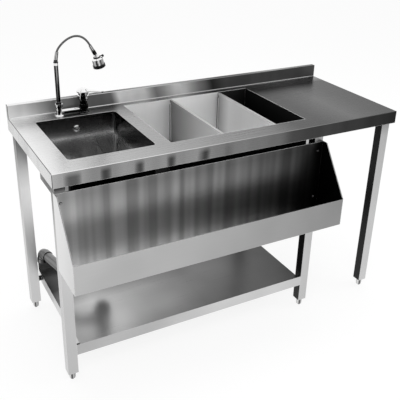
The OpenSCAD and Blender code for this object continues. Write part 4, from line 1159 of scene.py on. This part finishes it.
@dataclass
class Worktop:
    """Worktop details: the ground edges of its two cut-outs and the fold of its upstand."""

    bowl_low: tuple[float, float] = (84.0, 90.0)
    bowl_high: tuple[float, float] = (417.0, 500.0)
    bowl_corner: float = 14.0
    bin_low: tuple[float, float] = (474.0, 85.0)
    bin_high: tuple[float, float] = (1081.0, 545.0)
    bin_corner: float = 1.5
    height: float = 894.6
    bead: float = 0.7
    upstand_y: float = 578.0
    fold_radius: float = 3.0
    fold_arc: int = 6
    fold_steps: int = 30
    fold_gap: float = 0.2
    end_gap: float = 2.0

    def build(self, finishes: Finishes) -> None:
        """Makes the bright line that a ground sheet edge shows round each cut-out.

        Args:
            finishes: The finishes.
        """
        edges = (
            ("bowl_cutout_edge", self.bowl_low, self.bowl_high, self.bowl_corner, 8),
            ("bin_cutout_edge", self.bin_low, self.bin_high, self.bin_corner, 2),
        )
        for name, low, high, corner, steps in edges:
            path = rounded_loop(station(*low, self.height), station(*high, self.height), corner * MM, steps)
            rings = loop_rings(path, self.bead * MM, 8)
            mesh_piece(name, rings, True, finishes.get(RIM_STEEL), "frame")
        self.crease(finishes)

    def crease(self, finishes: Finishes) -> None:
        """Makes the hollow fold where the worktop turns up into its upstand, which carries a painted
        highlight.

        Args:
            finishes: The finishes.
        """
        radius, gap = self.fold_radius, self.fold_gap
        section = [(self.upstand_y + gap, self.height + gap)]
        for k in range(self.fold_arc + 1):
            turn = math.pi / 2 * k / self.fold_arc
            y = self.upstand_y - radius + radius * math.sin(turn)
            z = self.height + 2 * gap + radius - radius * math.cos(turn)
            section.append((y, z))
        rings = []
        length = 2 * (HALF_LENGTH_MM - self.end_gap)
        for k in range(self.fold_steps + 1):
            x = self.end_gap + length * k / self.fold_steps
            rings.append([station(x, y, z) for y, z in section])
        mesh_piece("upstand_crease", rings, False, finishes.get(CREASE_STEEL), "frame")


@dataclass
class Legs:
    """Weld fillets where the six legs meet the channels."""

    lefts: tuple[float, ...] = (10.0, 1092.0, 1450.0)
    fronts: tuple[float, ...] = (22.0, 539.0)
    width: float = 40.0
    top: float = 863.5
    bead: float = 2.2
    below: float = 0.6
    corner: float = 1.2
    ripples: int = 14
    dip: float = 0.8

    def build(self, finishes: Finishes) -> None:
        """Makes one rippled fillet round the top of each leg.

        Args:
            finishes: The finishes.
        """
        for i, x in enumerate(self.lefts):
            for j, y in enumerate(self.fronts):
                self.fillet(f"leg_weld_{i}_{j}", x, y, finishes)

    def fillet(self, name: str, x: float, y: float, finishes: Finishes) -> None:
        """Makes one fillet.

        Args:
            name: Name of the piece.
            x: Left face of the leg.
            y: Front face of the leg.
            finishes: The finishes.
        """
        z = self.top - self.below
        low, high = station(x, y, z), station(x + self.width, y + self.width, z)
        corners = rounded_loop(low, high, self.corner * MM, 1)
        path = []
        for a, b in zip(corners, corners[1:] + corners[:1]):
            # A side of the leg gets its ripples, a rounded corner is one step.
            steps = self.ripples if (b - a).length > self.width / 4 * MM else 1
            path += [a.lerp(b, k / steps) for k in range(steps)]
        rings = []
        for k, ring in enumerate(loop_rings(path, self.bead * MM, 6)):
            middle = sum(ring, Vector()) / len(ring)
            swell = 1.0 if k % 2 else self.dip
            rings.append([middle + (p - middle) * swell for p in ring])
        mesh_piece(name, rings, True, finishes.get(WELD_STEEL), "frame")


@dataclass
class Neck:
    """The flexible neck: round ribs along the line of the CAD neck."""

    foot: tuple[float, float] = (196.0, 1116.0)
    foot_lean_deg: float = 11.5
    foot_sleeve: float = 38.0
    foot_pull: float = 22.0
    ball: tuple[float, float] = (363.0, 1118.0)
    fall_deg: float = 28.0
    ball_drop: float = 30.0
    head_sleeve: float = 24.0
    head_pull: float = 100.0
    plane_y: float = 541.0
    radius: float = 4.6
    sleeve_step: float = 0.3
    groove: float = 0.8
    ribs: int = 84
    sides: int = 20
    steps: int = 4

    def ways(self) -> tuple[Vector, Vector]:
        """Gives the directions of the neck's two straight ends.

        Returns:
            Direction out of the foot sleeve and direction into the head, in the X-Z plane.
        """
        lean, fall = math.radians(self.foot_lean_deg), math.radians(self.fall_deg)
        return Vector((math.sin(lean), math.cos(lean))), Vector((math.sin(fall), -math.cos(fall)))

    def line(self, t: float) -> tuple[Vector, Vector]:
        """Gives a point and a direction on the bent part.

        Args:
            t: Share of the way, from 0 to 1.

        Returns:
            The point in station millimetres, and the direction.
        """
        up, down = self.ways()
        a = Vector(self.foot) + up * self.foot_sleeve
        b = a + up * self.foot_pull
        d = Vector(self.ball) - down * (self.ball_drop + self.head_sleeve)
        c = d - down * self.head_pull
        s = 1 - t
        point = s**3 * a + 3 * s * s * t * b + 3 * s * t * t * c + t**3 * d
        ahead = s * s * (b - a) + 2 * s * t * (c - b) + t * t * (d - c)
        return point, ahead.normalized()

    def build(self, finishes: Finishes) -> None:
        """Makes the neck and lets it stand for the CAD neck.

        Args:
            finishes: The finishes.
        """
        up, down = self.ways()
        foot, last = Vector(self.foot), self.line(1.0)[0]
        plain = self.radius - self.sleeve_step
        rings = [self.ring(foot + up * self.foot_sleeve * k / 3, up, plain) for k in range(3)]
        total = self.ribs * self.steps
        for k in range(total + 1):
            point, ahead = self.line(k / total)
            wave = 0.5 - 0.5 * math.cos(math.tau * k / self.steps)
            rings.append(self.ring(point, ahead, self.radius - self.groove * (1 - wave)))
        rings += [self.ring(last + down * self.head_sleeve * k / 3, down, plain) for k in range(1, 4)]
        piece = mesh_piece("ribbed_neck", rings, False, finishes.get(NECK_CHROME), "spout")
        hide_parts("neck_hose")

    def ring(self, point: Vector, ahead: Vector, radius: float) -> list[Vector]:
        """Gives one ring of the neck.

        Args:
            point: Its centre, X and Z in station millimetres.
            ahead: Direction of the neck there.
            radius: Its radius in millimetres.

        Returns:
            The ring's points in metres.
        """
        out = []
        for k in range(self.sides):
            turn = math.tau * k / self.sides
            u, v = radius * math.cos(turn), radius * math.sin(turn)
            out.append(station(point.x + u * ahead.y, self.plane_y + v, point.y - u * ahead.x))
        return out


@dataclass
class TapTails:
    """Threads on the two tap tails under the worktop."""

    lefts: tuple[float, ...] = (196.0, 299.0)
    plane_y: float = 541.0
    low: float = 834.0
    high: float = 877.0
    pitch: float = 1.814
    root: float = 10.5
    crest: float = 10.95
    sides: int = 32

    def build(self, finishes: Finishes) -> None:
        """Makes one threaded sleeve on each tail.

        Args:
            finishes: The finishes.
        """
        for x in self.lefts:
            rings = []
            turns = int((self.high - self.low) / self.pitch)
            for k in range(2 * turns + 1):
                z = self.low + k * self.pitch / 2
                radius = self.crest if k % 2 else self.root
                ring = []
                for i in range(self.sides):
                    turn = math.tau * i / self.sides
                    lead = self.pitch * (i / self.sides - 0.5) if 0 < k < 2 * turns else 0.0
                    y = self.plane_y + radius * math.sin(turn)
                    ring.append(station(x + radius * math.cos(turn), y, z + lead))
                rings.append(ring)
            mesh_piece(f"tail_thread_{x:.0f}", rings, False, finishes.get(TURNED_BRASS), "frame")


# ---- Studio -----------------------------------------------------------------------------------


@dataclass
class Studio:
    """Pale floor, white surroundings and soft lamps."""

    floor_half: float = 14.0
    floor_glow: float = 1.08
    floor_share: float = 0.78
    world_level: float = 0.62
    white: Rgba = (1.0, 1.0, 1.0, 1.0)

    def build(self) -> None:
        """Builds the world, floor and lamps."""
        self.world()
        self.floor()
        self.lamp("key_softbox", (-1.6, -2.6, 3.6), (0.0, 0.0, 0.6), 2.4, 46.0)
        self.lamp("top_softbox", (0.3, 0.6, 4.2), (0.0, 0.0, 0.5), 3.0, 40.0)
        self.lamp("fill_softbox", (3.2, -1.2, 2.4), (0.2, 0.0, 0.6), 2.0, 16.0)

    @staticmethod
    def shown(tree: Tree) -> Node:
        """Tells whether a ray shows the studio itself, straight on, in a mirror or through glass.

        Args:
            tree: The node tree.

        Returns:
            A node that gives 1 where it does, else 0.
        """
        path = add_node(tree, "LightPath").outputs
        seen = add_node(tree, "Math", (path["Is Camera Ray"], path["Is Glossy Ray"]), operation="MAXIMUM")
        return add_node(tree, "Math", (seen, path["Is Transmission Ray"]), operation="MAXIMUM")

    def world(self) -> None:
        """Makes the surroundings white to the eye and in reflections, and calmer as a light."""
        world = bpy.data.worlds.new("studio_world")
        bpy.context.scene.world = world
        tree = emptied(world)
        strength = add_node(tree, "MapRange", (self.shown(tree), 0.0, 1.0, self.world_level, 1.0))
        back = add_node(tree, "Background", {"Color": self.white, "Strength": strength})
        add_node(tree, "OutputWorld", (back,))

    def floor(self) -> None:
        """Makes the pale floor, white to the eye, which keeps the object's shadow."""
        half = self.floor_half
        data = bpy.data.meshes.new("studio_floor")
        corners = [(-half, -half, 0), (half, -half, 0), (half, half, 0), (-half, half, 0)]
        data.from_pydata(corners, [], [(0, 1, 2, 3)])
        floor = bpy.data.objects.new("studio_floor", data)
        bpy.context.scene.collection.objects.link(floor)
        material = bpy.data.materials.new("white_studio_floor")
        tree = emptied(material)
        matt = add_node(tree, "BsdfDiffuse", {"Color": linear("#F2F2F2")})
        glow = add_node(tree, "Emission", {"Color": self.white, "Strength": self.floor_glow})
        share = add_node(tree, "MapRange", (self.shown(tree), 0.0, 1.0, 0.0, self.floor_share))
        both = add_node(tree, "MixShader", (share, matt, glow))
        add_node(tree, "OutputMaterial", (both,))
        data.materials.append(material)

    def lamp(self, name: str, at: Sequence[float], to: Sequence[float], size: float, power: float) -> None:
        """Adds a square softbox that bright metal doesn't mirror.

        Args:
            name: Name of the lamp.
            at: Where it hangs.
            to: Point that it faces.
            size: Length of its side.
            power: Watts.
        """
        data = bpy.data.lights.new(name, "AREA")
        data.shape = "SQUARE"
        data.size = size
        data.energy = power
        lamp = bpy.data.objects.new(name, data)
        lamp.location = at
        lamp.rotation_euler = (Vector(to) - Vector(at)).to_track_quat("-Z", "Y").to_euler()
        lamp.visible_glossy = False
        bpy.context.scene.collection.objects.link(lamp)


@dataclass
class ViewCamera:
    """The camera of the photograph, solved from its straight edges."""

    place: tuple[float, float, float] = (-1.24719, -2.12371, 1.78797)
    right: tuple[float, float, float] = (0.87912, -0.47599, 0.02423)
    up: tuple[float, float, float] = (0.18401, 0.38588, 0.90401)
    ahead: tuple[float, float, float] = (0.43965, 0.79027, -0.42682)
    focal_px: float = 647.617
    frame_px: float = 400.0
    centre_px: tuple[float, float] = (201.285, 179.541)
    sensor_mm: float = 36.0

    def build(self) -> None:
        """Adds the camera and makes it the scene's."""
        data = bpy.data.cameras.new("photo_camera")
        data.sensor_width = self.sensor_mm
        data.lens = self.focal_px / self.frame_px * self.sensor_mm
        data.shift_x = (self.frame_px / 2 - self.centre_px[0]) / self.frame_px
        data.shift_y = (self.centre_px[1] - self.frame_px / 2) / self.frame_px
        data.clip_end = 100.0
        camera = bpy.data.objects.new("photo_camera", data)
        matrix = camera.matrix_world.to_3x3()
        for row in range(3):
            matrix[row][0] = self.right[row]
            matrix[row][1] = self.up[row]
            matrix[row][2] = -self.ahead[row]
        camera.matrix_world = matrix.to_4x4()
        camera.location = self.place
        bpy.context.scene.collection.objects.link(camera)
        bpy.context.scene.camera = camera


def main() -> None:
    """Builds the scene in order."""
    logging.basicConfig(level=logging.INFO, format="%(message)s")
    bpy.context.scene.view_settings.view_transform = "Standard"
    ViewCamera().build()
    Studio().build()
    finishes = Finishes()
    finishes.dress_frame()
    for part in (Worktop(), Legs(), Neck(), TapTails()):
        part.build(finishes)
        LOG.info("built %s", type(part).__name__)


if __name__ == "__main__":
    main()
